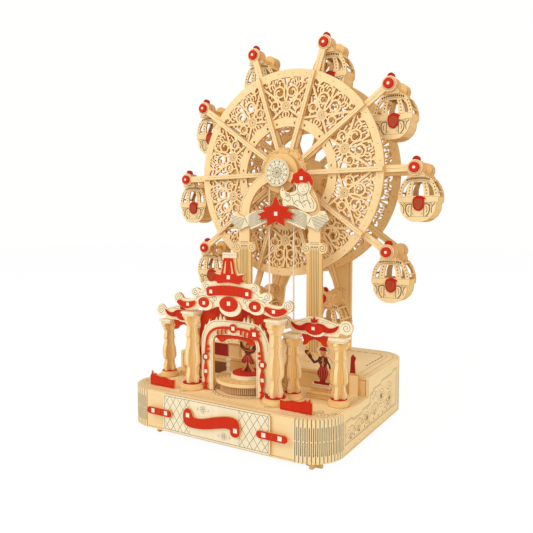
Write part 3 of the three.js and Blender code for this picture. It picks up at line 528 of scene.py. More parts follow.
# Front plate: a thin sheet over the joint of the skins, engraved with a border and a lattice of lozenges.
# A red painted scroll and two red clips are pegged to it with square tabs that show pale on their faces.
# Two small flowers are engraved beside the scroll's curls.
add_finish("cream", "cream_sheet", (255, 243, 212), (246, 228, 186))
add_finish("red", "vermilion_paint", (218, 50, 8), (202, 38, 4), roughness=PRINTED)
add_finish("ring", "red_rim", (202, 36, 8), (178, 26, 6), roughness=PRINTED)
add_finish("lead", "printed_line", (132, 132, 112), (104, 102, 82), roughness=PRINTED)


def stand(drawing, node, name, body, slot, **more):
    """A drawing cut as an upright sheet where its node stands, in that node's place."""
    low, high = reach(node)
    sheets = Sheets()
    sheets.upright(drawing, low.y, high.y - low.y, **more)
    return show(name, sheets.mesh(name), body, slot, node)


def flower(x, z, size):
    layers = ink(disc(x, z, 0.28 * size, 10), 0.2, closed=True, finish="lead")
    for i in range(7):
        petal = on_circle(x, z, 0.62 * size, 360 * i / 7)
        layers += ink(disc(*petal, 0.3 * size, 8), 0.17, closed=True, finish="lead")
    for side in (-1, 1):
        curl = spiral(x + side * 1.5 * size, z - 0.2, 0.8, 0.2, 90, 90 - side * 340, 12)
        layers += ink(curl, 0.18, finish="lead")
    return layers


def rounded(left, right, low, high, radius, steps=5):
    points = []
    for x, z, start in ((right, low, -90), (right, high, 0), (left, high, 90), (left, low, 180)):
        inward = (x - radius if x == right else x + radius, z + radius if z == low else z - radius)
        points += arc(*inward, radius, start, start + 90, steps)
    return points


plate_low, plate_high = reach("lattice_plate")
plate_side = plate_high.x
plate = [(rounded(-plate_side, plate_side, plate_low.z, plate_high.z, 1.6), "wood:cream")]
field_low, field_high = plate_low.z + 1, plate_high.z - 1
field_left, field_right = -plate_side + 1, -plate_side + 19.6
field_height = field_high - field_low
border = rounded(field_left, -field_left, field_low, field_high, 1.2)
plate += ink(border, 0.3, closed=True, finish="lead")
lozenge, samples = 4.9, 40
for slope in (-1.45, 1.45):
    for i in range(-6, 9):
        start = field_left + i * lozenge
        inside = []
        for sample in range(samples + 1):
            x = start + field_height / abs(slope) * sample / samples
            if field_left <= x <= field_right:
                inside.append((x, (field_low if slope > 0 else field_high) + (x - start) * slope))
        if len(inside) > 1:
            line = ink([inside[0], inside[-1]], 0.26, finish="lead")
            plate += line + mirrored(line)
dashes = []
for i in range(8):
    low = field_low + 0.6 + i * field_height / 8
    dashes += ink([(field_right, low), (field_right, low + 1.7)], 0.28, finish="lead")
plate += dashes + mirrored(dashes)
plate += flower(-7.2, 22.0, 2.3) + flower(7.2, 9.4, 2.3)
stand(plate, "lattice_plate", "lattice_plate_dressed", "base", "pale_birch", back="tan")


def smooth(points, closed=True, parts=4):
    """A curve through the points, by Catmull and Rom's rule."""
    count = len(points)
    made = []
    for i in range(count if closed else count - 1):
        spots = []
        for step in (-1, 0, 1, 2):
            j = (i + step) % count if closed else min(max(i + step, 0), count - 1)
            spots.append(Vector(points[j]))
        p0, p1, p2, p3 = spots
        for k in range(parts):
            t = k / parts
            bend_in = (p2 - p0) * t + (2 * p0 - 5 * p1 + 4 * p2 - p3) * t * t
            made.append(tuple(0.5 * (2 * p1 + bend_in + (3 * p1 - p0 - 3 * p2 + p3) * t * t * t)))
    if not closed:
        made.append(tuple(points[-1]))
    return made


def moved(points, x, y=0.0):
    return [(x + across, y + up) for across, up in points]


def shifted(layers, x, y=0.0):
    return [(moved(shape, x, y), finish) for shape, finish in layers]


scroll = [(-19.8, 15.8), (-19.7, 18.4), (-18.4, 20.8), (-16.4, 21.7), (-14.4, 21.0), (-13.3, 19.2)]
scroll += [(-12.2, 17.3), (-9.0, 16.9), (-4, 17.8), (2, 19.6), (9, 21.2), (14, 21.7), (17.6, 20.7)]
scroll += [(19.2, 18.2), (19.3, 13.2), (17.8, 11.3), (15.2, 10.9), (13.3, 12.2), (12.9, 14.6)]
scroll += [(9.5, 14.7), (4, 13.5), (-4, 11.6), (-12, 10.8), (-16.8, 11.3), (-19.2, 13.0)]
plaque = [(moved(smooth(scroll), -0.7), "wood:red")]
plaque += tab(-17.2, 17.6, 2.5) + tab(15.7, 14.6, 2.5)
stand(plaque, "scroll_plaque", "scroll_dressed", "base", "vermilion", back="tan")

for name in ("clip_left", "clip_right"):
    clip_low, clip_high = reach(name)
    middle = (clip_low.z + clip_high.z) / 2
    x = (clip_low.x + clip_high.x) / 2
    clip = [(rounded(clip_low.x, clip_high.x, clip_low.z, clip_high.z, 2.09, 6), "wood:red")]
    clip += tab(x - 4.9, middle, 2.4) + tab(x + 4.9, middle, 2.4)
    clip.append((disc(x, middle, 0.55, 10), "ink"))
    stand(clip, name, name + "_dressed", "base", "vermilion", back="tan")


# Drive: a dowel shaft that carries a gear, the belt's pulley and a crank with a red painted grip.
# Pulleys are two ply discs with a smaller one between them, and the belt is a plain cotton thread.
# A short bearing board under the low deck holds the front end of the shaft.
def turned(sheets, profile, axis, middle, steps=40):
    """Spins a closed profile of (radius, place along the axis, finish) round an axis through a point."""
    rings = []
    for radius, along, _ in profile:
        ring = []
        for i in range(steps if radius > 1e-6 else 1):
            across, up = on_circle(0, 0, radius, 360 * i / steps)
            if axis == "Y":
                spot = (middle[0] + across, along, middle[2] + up)
            else:
                spot = (middle[0] + across, middle[1] + up, along)
            ring.append(len(sheets.points))
            sheets.points.append(spot)
        rings.append(ring)
    turn = 1 if axis == "Z" else -1
    for here, there, (_, _, finish) in zip(rings, rings[1:] + rings[:1], profile):
        if len(here) == 1 and len(there) == 1:
            continue
        for j in range(steps):
            k = (j + 1) % steps
            corners = [here[j % len(here)], here[k % len(here)]]
            corners += [there[k % len(there)], there[j % len(there)]]
            sheets.faces.append(tuple(list(dict.fromkeys(corners))[::turn]))
            sheets.finishes.append(finish)
    return sheets


def rod(sheets, radius, low, high, axis, middle, side="tan", end="edge", steps=32):
    profile = [(0, low, end), (radius, low, side), (radius, high, end), (0, high, end)]
    return turned(sheets, profile, axis, middle, steps)


hub_low, hub_high = reach("hub_pulley")
hub = (0, (hub_low.y + hub_high.y) / 2, (hub_low.z + hub_high.z) / 2)
shaft_low, shaft_high = reach("crank_shaft")
shaft = (0, 0, (shaft_low.z + shaft_high.z) / 2)


def pulley(name, node, body, slot, middle, bore):
    low, high = reach(node)
    wide, near, far = high.x, low.y, high.y
    groove = wide - 2.6
    third = (far - near) / 3
    profile = [(bore, near, "tan_up"), (wide - 0.3, near, "edge"), (wide, near + 0.3, "edge")]
    profile += [(wide, near + third, "edge"), (groove, near + third + 0.2, "edge")]
    profile += [(groove, far - third - 0.2, "edge"), (wide, far - third, "edge")]
    profile += [(wide, far - 0.3, "edge"), (wide - 0.3, far, "tan_up"), (bore, far, "edge")]
    sheets = turned(Sheets(), profile, "Y", middle, 64)
    return show(name, sheets.mesh(name), body, slot, node)


pulley("belt_pulley_low", "drive_pulley", "crank", "pale_birch", shaft, 1.6)
pulley("belt_pulley_hub", "hub_pulley", "wheel", "birch", hub, 2.2)
add_finish("thread", "cotton_thread", (252, 244, 224), (240, 226, 196), (1.0, 1.0, 0.6))
dress("drive_belt", "thread")
dress("shaft_bearing", "tan_up")
dress("shaft_gear", "tan_up")
dress("turntable_gear", "tan")

dowel = rod(Sheets(), 1.5, shaft_low.y, shaft_high.y, "Y", shaft)
show("shaft_dowel", dowel.mesh("shaft_dowel"), "crank", "dark_birch", "crank_shaft")
arm_low, arm_high = reach("crank_arm")
grip_low, grip_high = reach("crank_grip")
grip = (0, 0, (grip_low.z + grip_high.z) / 2)
lever = [(arc(0, grip[2], 4.0, 0, 180, 14) + arc(0, shaft[2], 4.0, 180, 360, 14), "wood:tan_up")]
for z in (shaft[2], grip[2]):
    lever += [(disc(0, z, 1.6), "cut")] + ink(arc(0, z, 2.9, 0, 360, 20), 0.2, finish="burn")
stand(lever, "crank_arm", "crank_lever", "crank", "birch", back="tan_up")
collar, grip_end = arm_high.y + 0.3, grip_high.y
handle = [(0, arm_low.y, "edge"), (1.5, arm_low.y, "tan"), (1.5, collar, "red"), (3.4, collar, "red")]
handle += [(4.0, arm_high.y + 1.2, "red"), (4.0, grip_end - 1.4, "red"), (3.5, grip_end - 0.4, "red")]
handle += [(2.8, grip_end, "red"), (0, grip_end, "red")]
grip_piece = turned(Sheets(), handle, "Y", grip)
show("crank_handle", grip_piece.mesh("crank_handle"), "crank", "vermilion", "crank_grip")


# Columns: two crossed baluster sheets between a stack of round ply discs and a square cap of two layers.
# A thin red ring lies on the discs at the foot of each shaft.
# The four side columns are the same shape, only shorter.
baluster = [(0.4, 0), (0.42, 0.03), (0.44, 0.08), (0.38, 0.13), (0.34, 0.2), (0.36, 0.24), (0.43, 0.26)]
baluster += [(0.49, 0.3), (0.5, 0.36), (0.47, 0.45), (0.43, 0.51), (0.36, 0.56), (0.34, 0.64), (0.36, 0.68)]
baluster += [(0.43, 0.7), (0.36, 0.72), (0.33, 0.82), (0.36, 0.86), (0.46, 0.89), (0.47, 0.93), (0.56, 0.95)]
baluster += [(0.56, 1)]
baluster_width = 10.2
front_row_y = -59


def both_halves(half):
    """A whole outline from its right half, whose ends may lie on the middle line."""
    return half + [(-x, y) for x, y in reversed(half) if x > 0]


def square(x, y, half):
    return block(x - half, x + half, y - half, y + half)


def column(node):
    low, high = reach(node)
    x, y = (low.x + high.x) / 2, (low.y + high.y) / 2
    radius = (high.x - low.x) / 2
    foot, top = low.z + 3.6, high.z - 2.6
    made = Sheets()
    for share, under, over, side, end, steps in (
        (1, low.z, low.z + 2.0, "tan", "pale", 48), (0.84, low.z + 2.05, low.z + 3.2, "tan", "pale", 40),
        (0.78, low.z + 3.25, foot, "ring", "ring", 40),
    ):
        rod(made, radius * share, under, over, "Z", (x, y, 0), side, end, steps)
    right = [(baluster_width * share, foot + rise * (top - foot)) for share, rise in baluster]
    edge = smooth(right, False, 3)
    line = ink([(across * 0.62, z) for across, z in edge[6:-14]], 0.16, finish="burn")
    lines = line + mirrored(line)
    # Only the front pair of columns has pale faces; the others, and the sideways sheet of every column, are
    # tan as painted shade.
    face = "wood:pale" if y < front_row_y else "wood:tan_up"
    for cut, start, middle, wood in (
        (made.upright, y - PLY / 2, x, face), (made.sideways, x + PLY / 2, y, "wood:tan_up"),
    ):
        drawing = shifted([(both_halves(edge), wood)] + lines, middle)
        cut(drawing, start, PLY, edge="pale", back="tan_up")
    cap_half = 4.7
    made.level([(square(x, y, cap_half - 0.8), "wood:pale")], high.z - 1.35, 1.25, back="pale", edge="cream")
    made.level([(square(x, y, cap_half), "wood:pale")], high.z, 1.3, back="pale", edge="cream")
    show(node + "_dressed", made.mesh(node + "_dressed"), "base", "pale_birch", node)


for place in ("front", "outer", "inner"):
    for hand in ("left", "right"):
        column(f"column_{place}_{hand}")


# Proscenium: an arch board with small flames on top, and a red painted trim of beads and tassels pegged on.
# Behind it a red curtain board shows round the arch and hangs in scallops at the top of the opening.
# A painted star is pegged over one shoulder of the trim.
add_finish("wine", "wine_paint", (178, 30, 24), (140, 22, 18), roughness=0.5)


def band(points, width, finish):
    """A strip of wood along a curve that doesn't cross itself."""
    spots = [Vector(spot) for spot in points]
    left, right = [], []
    for i, spot in enumerate(spots):
        along = (spots[min(i + 1, len(spots) - 1)] - spots[max(i - 1, 0)]).normalized()
        side = Vector((-along.y, along.x)) * width / 2
        left.append(spot + side)
        right.append(spot - side)
    return [(left + right[::-1], finish)]


def oval(x, z, wide, tall, steps=28):
    return [(x + wide * across, z + tall * up) for across, up in disc(0, 0, 1, steps)]


arch_low, arch_high = reach("proscenium")
arch_half = arch_high.x
foot_z = arch_low.z
outer_side = [(21.1, foot_z), (21.1, foot_z + 3.6), (arch_half, foot_z + 3.6)]
outer_bend = [(arch_half, 54.5), (23.6, 59.6), (21.9, 63.6), (18.8, 67.6), (14.5, 69.6)]
outer_bend += [(7.5, 70.2), (0, 70.3)]
inner_bend = [(15.5, 55.6), (14.6, 59.2), (12.2, 61.0), (6, 61.7), (0, 61.8)]
outer_curve = outer_side + smooth(outer_bend, False, 3)
inner_curve = [(15.5, foot_z)] + smooth(inner_bend, False, 3)
board = [(both_halves(outer_curve) + both_halves(inner_curve)[::-1], "wood:cream")]
half_board = []
flames = ((7.0, 69.6, 3.4), (9.6, 69.4, 4.8), (12.4, 68.8, 3.0), (17.6, 66.8, 3.4), (20.6, 64.2, 2.6))
for x, foot, tall in flames:
    flame = [(-1.2, 0), (1.3, -0.4), (1.0, tall * 0.4), (0.2, tall), (-0.5, tall * 0.5)]
    half_board.append((moved(flame, x, foot), "wood:cream"))
half_board += ink(moved(outer_curve[4:], -0.9, -0.7), 0.22, finish="burn")
half_board += ink(moved(inner_curve, 0.8, 0.5), 0.22, finish="burn")
board += half_board + mirrored(half_board)
stand(board, "proscenium", "arch_board", "base", "pale_birch", back="tan_up")

trim_side = [(20, 29.0), (20, 47), (19.5, 54.4), (18.2, 60.0), (14.4, 64.0), (7.6, 65.9), (0, 66.0)]
trim_foot = [(-2.1, 27.2), (-1.3, 28.5), (-1.1, 30.0), (-1.8, 30.9), (-0.7, 32.0), (0.7, 32.0), (1.8, 30.9)]
trim_foot += [(1.1, 30.0), (1.3, 28.5), (2.1, 27.2)]
trim_leaf = [(0, 44.4), (1.3, 41.4), (1.6, 38.2), (1.2, 34.8), (0, 31.8), (-1.2, 34.8)]
trim_leaf += [(-1.6, 38.2), (-1.3, 41.4)]
trim_leg = 20
trim = band(smooth(trim_side, False, 5), 1.5, "wood:red")
trim += [(moved(smooth(trim_leaf), trim_leg), "wood:red"), (moved(trim_foot, trim_leg), "wood:red")]
for x, length in ((5.4, 1.9), (8.2, 2.1), (11.0, 1.6)):
    trim.append((oval(x, 65.4 - length / 2 - 0.016 * x * x, 0.7, length / 2 + 0.6, 10), "wood:red"))
trim.append((disc(trim_leg, 47, 2.4, 20), "wood:red"))
for x, z, radius in ((18.2, 50.6, 1.0), (18.2, 53.4, 1.0), (19.6, 50.2, 0.9), (trim_leg, 43.9, 0.8)):
    trim.append((disc(x, z, radius, 10), "wood:red"))
trim += mirrored(trim)
trim += [(disc(0, 66, 2.7, 24), "wood:red"), (star(14.6, 64.0, 4.6, 2.8, 8, 80), "wood:red")]
trim += tab(0, 66, 2.3) + tab(14.6, 64.0, 2.3)
for x in (-trim_leg, trim_leg):
    trim += tab(x, 47, 2.2) + tab(x, 38.2, 2.0)


def pegged(drawing, node, proud):
    """A red drawing cut as a thin sheet that is pegged on the front of a node's board."""
    sheets = Sheets()
    sheets.upright(drawing, reach(node)[0].y - proud, proud - 0.05, back="tan_up")
    return sheets


def show_reds(name, sheets):
    show(name, sheets.mesh(name), "base", "vermilion")


show_reds("arch_trim", pegged(trim, "proscenium", 1.2))

curtain_top = reach("curtain")[1].z
fall = [(26.9, 69.5), (26.2, 65.2), (27.4, 60.0), (26.1, 54.6), (27.4, 49.2), (26.2, 43.8)]
fall += [(27.0, 38.2), (22.0, 36.4)]
hem = [(19.3, 40.6), (18.9, 48.0), (17.6, 54.6), (15.4, 58.6), (13.4, 58.0), (11.4, 56.4), (9.2, 56.6)]
hem += [(7.0, 58.4), (3.4, 59.0), (0, 59.2)]
half_curtain = [(0, curtain_top), (23.4, curtain_top - 0.6), (25.4, 71.8)]
half_curtain += smooth(fall, False, 3) + smooth(hem, False, 3)
# The curtain red is brighter than its paint: partly its own orange red, partly painted light over the shadow
# it hangs in.
add_finish("drape", "curtain_red_with_painted_light", (232, 66, 22), (216, 52, 16), roughness=PRINTED)
curtain = [(both_halves(half_curtain), "wood:drape")]
folds = []
for x, low, high in ((21.5, 40, 66), (20.2, 44, 64), (22.8, 47, 60)):
    folds += ink([(x, low), (x + 0.5, (low + high) / 2), (x - 0.3, high)], 0.3, finish="wine")
for x in range(2, 15, 2):
    folds += ink([(x, 60.6), (x + 0.5, 58.4 - 0.012 * x * x)], 0.28, finish="wine")
lengths = (2.2, 3.4, 2.2, 3.8, 2.4, 3.2, 2.0, 3.0)
for x, length in zip((2.2, 4.6, 6.6, 9.0, 11.4, 13.6, 16.0, 18.4), lengths):
    folds += ink([(x, 76.0), (x + 0.2, 76.0 - length)], 0.34, finish="wine")
gap = [(6.6, 70.9), (8.2, 72.3), (9.4, 71.4), (10.9, 72.8), (12.6, 71.2), (13.4, 70.7)]
folds.append((gap, "cut"))
curtain += folds + mirrored(folds)
stand(curtain, "curtain", "curtain_board", "base", "vermilion", back="tan_up")


# Roof board: a scrolled cream sheet on the two front columns, engraved along its curls.
# Red painted parts are pegged on it: a broad band, three ovals with crescents, two wings and a small tower.
# Each peg shows as a pale square on the red.
half_roof = [(0, 110.5), (4.9, 110.5), (4.9, 107.6), (4.2, 106.8), (4.9, 101.2), (6.2, 98.6), (10.4, 98.8)]
curls = [(9.2, 96.2), (10.3, 94.0), (12.8, 93.0), (15.6, 93.4), (18.6, 92.8), (20.3, 90.9), (20.2, 88.9)]
curls += [(21.2, 87.8), (23.6, 88.8), (26.4, 88.7), (28.3, 86.9), (27.9, 84.7), (26.0, 83.4), (28.0, 82.4)]
curls += [(31.4, 82.0), (34.4, 82.2), (35.9, 84.2), (38.2, 85.3), (40.6, 84.4), (41.5, 82.3), (41.0, 80.4)]
curls += [(39.4, 79.0), (35.2, 76.6), (30.2, 75.2), (25.4, 76.0), (21.4, 77.1), (17.2, 76.3), (12.2, 77.4)]
curls += [(8.0, 78.8), (4.6, 76.0)]
half_roof += smooth(curls, False, 3) + [(0, 74.7)]
roof = [(both_halves(half_roof), "wood:cream")]
lines = []
for curl, width in (
    (spiral(16.6, 90.4, 2.4, 0.4, 100, -460), 0.28), (spiral(25.0, 86.3, 2.2, 0.4, 90, -470), 0.28),
    (spiral(38.5, 82.2, 2.6, 0.4, 200, -420), 0.28), (spiral(10.6, 83.0, 1.9, 0.3, 0, 430, 14), 0.28),
    (spiral(23.6, 84.0, 1.5, 0.3, 180, -250, 14), 0.28), (spiral(11.4, 95.0, 1.4, 0.3, 90, -320, 12), 0.22),
    ([(4.2, 107.2), (0, 107.2)], 0.25), ([(4.3, 109.2), (0, 109.2)], 0.2),
):
    lines += ink(curl, width, finish="lead")
for points in (
    [(12.2, 84.2), (15.4, 83.6), (18.4, 84.6), (21.6, 84.0), (24.4, 82.2)],
    [(16.0, 88.0), (18.2, 87.6), (20.0, 86.0), (22.4, 86.2)], [(10.8, 82.0), (12.0, 80.2), (13.2, 78.4)],
    [(28.6, 83.6), (31.6, 83.0), (34.4, 83.2)], [(22.6, 81.4), (22.2, 79.4), (21.8, 78.0)],
):
    lines += ink(smooth(points, False), 0.22, finish="lead")
roof += lines + mirrored(lines)
stand(roof, "roof", "roof_board", "base", "pale_birch", back="tan_up")

roof_front = reach("roof")[0].y
band_half = [(0, 91.6), (8, 91.1), (15.2, 89.9), (15.7, 87.4), (14.6, 84.8), (7.5, 85.5), (0, 85.8)]
tower_half = [(3.3, 107.4), (4.4, 101.0), (5.6, 97.4), (8.2, 97.9), (10.6, 98.6), (9.5, 96.2), (10.9, 94.0)]
tower_half += [(8.4, 93.8), (7.8, 92.6), (0, 93.4)]
wing = [(25.0, 78.5), (24.7, 81.2), (28.8, 80.5), (33.4, 80.4), (36.0, 81.2), (38.4, 79.6)]
wing += [(35.2, 77.2), (30.2, 76.2)]
reds = [(smooth(wing), "wood:red"), (oval(17.8, 80.7, 4.1, 3.1, 24), "wood:red")]
for line in ([(32.6, 78.6), (35.4, 79.2)], [(15.4, 81.4), (14.9, 80.4)]):
    reds += ink(line, 0.3, finish="wine")
reds += mirrored(reds) + [(oval(0, 80.8, 6.5, 4.4, 32), "wood:red")]
reds += [(smooth(both_halves(band_half), True, 3), "wood:red"), (both_halves(tower_half), "wood:red")]
stripe = [([(1.5, 105.6), (2.1, 105.4), (3.5, 98.6), (2.2, 98.4)], "tan_up")]
reds += stripe + mirrored(stripe)
for side in (-1, 1):
    reds += tab(side * 12.6, 87.5, 2.0) + tab(side * 17.8, 80.4, 1.9) + tab(side * 30, 78.8, 1.9)
reds += tab(0, 81.2, 2.3) + tab(0, 96.4, 2.2)
made = pegged(reds, "roof", 1.2)
for x, wide in ((-17.8, 4.1), (0, 6.5), (17.8, 4.1)):
    crescent = [(oval(x + 0.9, 80.4 - wide * 0.24, wide + 1.1, wide * 0.72 + 0.5, 32), "wood:cream")]
    crescent.append((oval(x, 80.9, wide + 0.05, wide * 0.71, 28), "cut"))
    made.upright(crescent, roof_front - 1.1, 1.05)
show_reds("roof_reds", made)


# Turntable: a drum of upright slats under a round plate with printed spots, a smaller disc and a red one.
# A dark printed dancer stands on the red disc and a turned post beside it; all of it turns together.
# The slats are one strip repeated round the drum.
def repeat_round(mesh, name, copies, centre, axis):
    """The mesh copied evenly round an axis through a centre, and joined where the copies meet."""
    tree = bpy.data.node_groups.new(name + "_repeat", "GeometryNodeTree")
    tree.interface.new_socket("Geometry", in_out="OUTPUT", socket_type="NodeSocketGeometry")
    tree.interface.new_socket("Geometry", in_out="INPUT", socket_type="NodeSocketGeometry")
    asked = {"Copies": copies, "Centre": centre, "Axis": axis}
    kinds = {"Copies": "NodeSocketInt", "Centre": "NodeSocketVector", "Axis": "NodeSocketVector"}
    sockets = {}
    for label, kind in kinds.items():
        sockets[label] = tree.interface.new_socket(label, in_out="INPUT", socket_type=kind).identifier
    given = Value(tree).node("NodeGroupInput", {}, {}, "Geometry")
    values = {label: Value(tree, given.socket.node.outputs[label]) for label in kinds}
    spots = given.node("GeometryNodePoints", {}, {"Count": values["Copies"], "Position": values["Centre"]})
    number = given.node("GeometryNodeInputIndex", {}, {})
    angle = number.maths("DIVIDE", number * (2 * math.pi), values["Copies"])
    turn = given.node("ShaderNodeVectorMath", {"operation": "SCALE"}, {0: values["Axis"], 3: angle})
    placed = {"Points": spots, "Instance": given, "Rotation": turn}
    copied = given.node("GeometryNodeInstanceOnPoints", {}, placed)
    joined = given.node("GeometryNodeRealizeInstances", {}, {0: copied})
    made = given.node("GeometryNodeMergeByDistance", {}, {"Geometry": joined, "Distance": 4e-6})
    for i, material in enumerate(mesh.materials):
        which = given.node("GeometryNodeInputMaterialIndex", {}, {})
        equal = {"data_type": "INT", "operation": "EQUAL"}
        chosen = which.node("FunctionNodeCompare", equal, {2: which, 3: i})
        coat = {"Geometry": made, "Selection": chosen, "Material": material}
        made = given.node("GeometryNodeSetMaterial", {}, coat)
    tree.links.new(made.socket, tree.nodes.new("NodeGroupOutput").inputs[0])
    carrier = bpy.data.objects.new(name + "_carrier", mesh)
    bpy.context.scene.collection.objects.link(carrier)
    modifier = carrier.modifiers.new("repeat", "NODES")
    modifier.node_group = tree
    for label, identifier in sockets.items():
        modifier[identifier] = asked[label]
    bpy.context.view_layer.update()
    settled = carrier.evaluated_get(bpy.context.evaluated_depsgraph_get())
    result = bpy.data.meshes.new_from_object(settled)
    result.name = name
    bpy.data.objects.remove(carrier)
    return result


add_finish("cocoa", "cocoa_print", (128, 62, 32), (84, 34, 18), roughness=0.6)
# A dark brown that is painted shade: the drum's core seen between its slats, and a board in the shadow by
# the riser.
add_finish("cocoa_wood", "painted_shade_board", (150, 96, 60), (96, 56, 34), roughness=PRINTED)
add_finish("stained", "stained_slat", (236, 198, 148), (206, 166, 122), roughness=0.7)
add_finish("skin", "printed_skin", (232, 160, 104), (214, 136, 84), roughness=0.6)
add_finish("blush", "printed_stripe", (232, 120, 96), (204, 90, 74), roughness=0.6)
table_x = (table_low.x + table_high.x) / 2
plate_radius = (table_high.x - table_low.x) / 2
drum_radius = plate_radius * 0.88
drum_top = table_low.z + 5.1
plate_top = drum_top + PLY
on_plate = plate_top + 0.05
table = Sheets()
centre = (table_x, table_y, 0)
# The core behind the slats is dark brown, painted shade in the gaps between them.
rod(table, drum_radius - 1.1, table_low.z, drum_top, "Z", centre, side="cocoa_wood", end="tan", steps=64)
rings = [(disc(table_x, table_y, plate_radius, 72), "wood:tan")]
for radius in (plate_radius - 1.1, plate_radius - 5.8, 11.6):
    rings += ink(disc(table_x, table_y, radius, 64), 0.18, closed=True, finish="burn")
for i in range(24):
    spot = on_circle(table_x, table_y, plate_radius - 3.4, 15 * i)
    rings.append((disc(*spot, 0.55 if i % 2 else 0.3, 8), "burn"))
table.level(rings, plate_top, PLY, edge="pale", back="tan")
rod(table, 10.7, on_plate, plate_top + 2.2, "Z", centre, side="cream", end="cream", steps=56)
rod(table, 9.7, plate_top + 2.25, table_high.z, "Z", centre, side="ring", end="red", steps=56)
post = [(0, 0), (1.9, 0), (1.9, 0.8), (1.2, 1.4), (1.0, 3.2), (1.5, 4.6), (1.1, 5.6), (1.0, 7.0), (1.9, 8.0)]
post += [(1.9, 8.8), (1.0, 9.5), (0, 9.6)]
post = [(radius, on_plate + rise, "cream") for radius, rise in post]
turned(table, post, "Z", (table_x - 15, table_y, 0), 20)
show("turntable_dressed", table.mesh("turntable_dressed"), "table", "pale_birch", "turntable")

strip = Sheets()
slat_low, slat_high = table_low.z + 0.25, drum_top - 0.1
slat = [(block(-0.36, 0.36, slat_low, slat_high), "wood:stained")]
strip.upright(slat, -drum_radius, 1.0, back="tan_up")
slats = repeat_round(strip.mesh("slat"), "drum_slats", 90, (0, table_y * MM, 0), (0, 0, 1))
show("drum_slats", slats, "table", "pale_birch")

figure = [(-0.9, 0), (0.3, 0.1), (0.7, 3.6), (1.2, 0.2), (2.6, 0.2), (2.2, 1.0), (1.9, 4.6), (4.6, 5.4)]
figure += [(4.2, 7.0), (2.4, 9.2), (1.7, 10.6), (2.6, 11.2), (4.6, 12.0), (6.0, 14.6), (5.6, 17.4)]
figure += [(4.3, 17.0), (3.4, 15.2), (2.4, 13.6), (1.0, 13.3), (1.5, 14.6), (1.5, 16.0), (0.7, 17.2)]
figure += [(0.2, 17.9), (-0.6, 17.2), (-1.4, 16.0), (-1.3, 14.6), (-0.9, 13.3), (-2.4, 14.6)]
figure += [(-3.6, 16.2), (-4.4, 18.0), (-5.6, 17.8), (-5.6, 14.6), (-3.8, 12.8), (-2.2, 11.8)]
figure += [(-1.6, 10.4), (-2.6, 8.8), (-4.4, 7.0), (-4.6, 5.2), (-2.2, 4.6), (-1.9, 1.0), (-2.3, 0.2)]
skirt = [(-1.4, 10.2), (1.5, 10.2), (4.3, 7.2), (4.6, 5.6), (2.2, 4.9), (0, 5.6), (-2.2, 4.9)]
skirt += [(-4.6, 5.5), (-4.3, 7.2)]
dancer = [(figure, "wood:cocoa"), (skirt, "wine")]
for x in (-2.4, -0.9, 0.7, 2.2):
    dancer += ink([(x * 0.4, 9.4), (x * 1.3, 5.8)], 0.4, finish="blush")
dancer.append((disc(0.05, 15.2, 1.15, 14), "skin"))
dancer += ink([(-3.8, 14.0), (-2.2, 12.8), (2.2, 12.7), (4.0, 13.6)], 0.34, finish="skin")
leg = [([(-1.7, 5.4), (-0.3, 5.4), (-1.0, 2.6), (-3.0, 0), (-4.6, 0), (-2.6, 2.8)], "wood:skin")]
dancer += leg + mirrored(leg)
stand(shifted(dancer, 0, reach("dancer")[0].z), "dancer", "dancer_dressed", "table", "wine", back="wine")


# Side stages: a stepped ply box on each side, and on the right one a printed figure that juggles.
# A cream pediment with volutes and a painted drape lies over the side columns, with red parts pegged on.
# Two small red boards stand at the front of the deck, and low pale boxes and dark boards by the riser; the
# dark brown one is painted shade.
board_wall = 1.0
for node in ("step_box_left", "step_box_right"):
    low, high = reach(node)
    inset = (high.x - low.x) / 8
    half_z = (low.z + high.z) / 2
    box = Sheets()
    for step_in, floor, top in ((0, low.z, half_z), (inset, half_z, high.z)):
        left, right, near, far = low.x + step_in, high.x - step_in, low.y + step_in, high.y - step_in
        tread = block(left, right, near, far)
        drawing = [(tread, "wood:pale")] + (ink(tread, 0.16, closed=True, finish="burn") if step_in else [])
        box.level(drawing, top, 1.2, back="tan")
        left, right, near, far, top = left + 0.4, right - 0.4, near + 0.4, far - 0.4, top - 1.2
        middle = (floor + top) / 2
        panel = [(block(left, right, floor, top), "wood:tan")]
        panel += ink([(left + 1.2, middle), (right - 1.2, middle)], 0.2, finish="burn")
        end_panel = [(block(near + board_wall, far - board_wall, floor, top), "wood:tan_up")]
        for front in (near, far - board_wall):
            box.upright(panel, front, board_wall, back="inside")
        for side in (left + board_wall, right):
            box.sideways(end_panel, side, board_wall, back="inside")
    show(node + "_dressed", box.mesh(node + "_dressed"), "base", "birch", node)

juggler_low, juggler_high = reach("juggler")
figure_x = (juggler_low.x + juggler_high.x) / 2
ground = juggler_low.z
rim = [(-3.6, 0.4), (-2.2, 0), (7.6, 0), (8.4, 1.0), (7.2, 2.2), (5.4, 2.8), (6.0, 5.0), (6.6, 8.0)]
rim += [(5.4, 11.4), (6.6, 12.6), (7.6, 9.6), (9.6, 8.8), (9.8, 10.6), (9.2, 13.4), (7.0, 16.4)]
rim += [(4.6, 17.6), (6.4, 18.8), (7.0, 21.0), (5.6, 22.8), (3.0, 23.4), (0.6, 22.8), (-0.4, 21.0)]
rim += [(0.2, 18.8), (1.6, 17.6), (-1.8, 15.4), (-5.4, 18.6), (-6.4, 20.4), (-8.6, 21.0), (-9.6, 19.6)]
rim += [(-8.4, 17.8), (-6.8, 17.0), (-5.0, 13.4), (-3.2, 11.6), (0.4, 12.8), (1.4, 11.2), (-0.2, 8.0)]
rim += [(0.2, 5.0), (1.0, 2.8), (-2.2, 2.4)]
trousers = [(1.0, 12.4), (5.6, 12.4), (6.9, 9.0), (6.0, 5.4), (4.6, 3.2), (2.0, 3.2)]
trousers += [(0.5, 5.4), (-0.4, 9.0)]
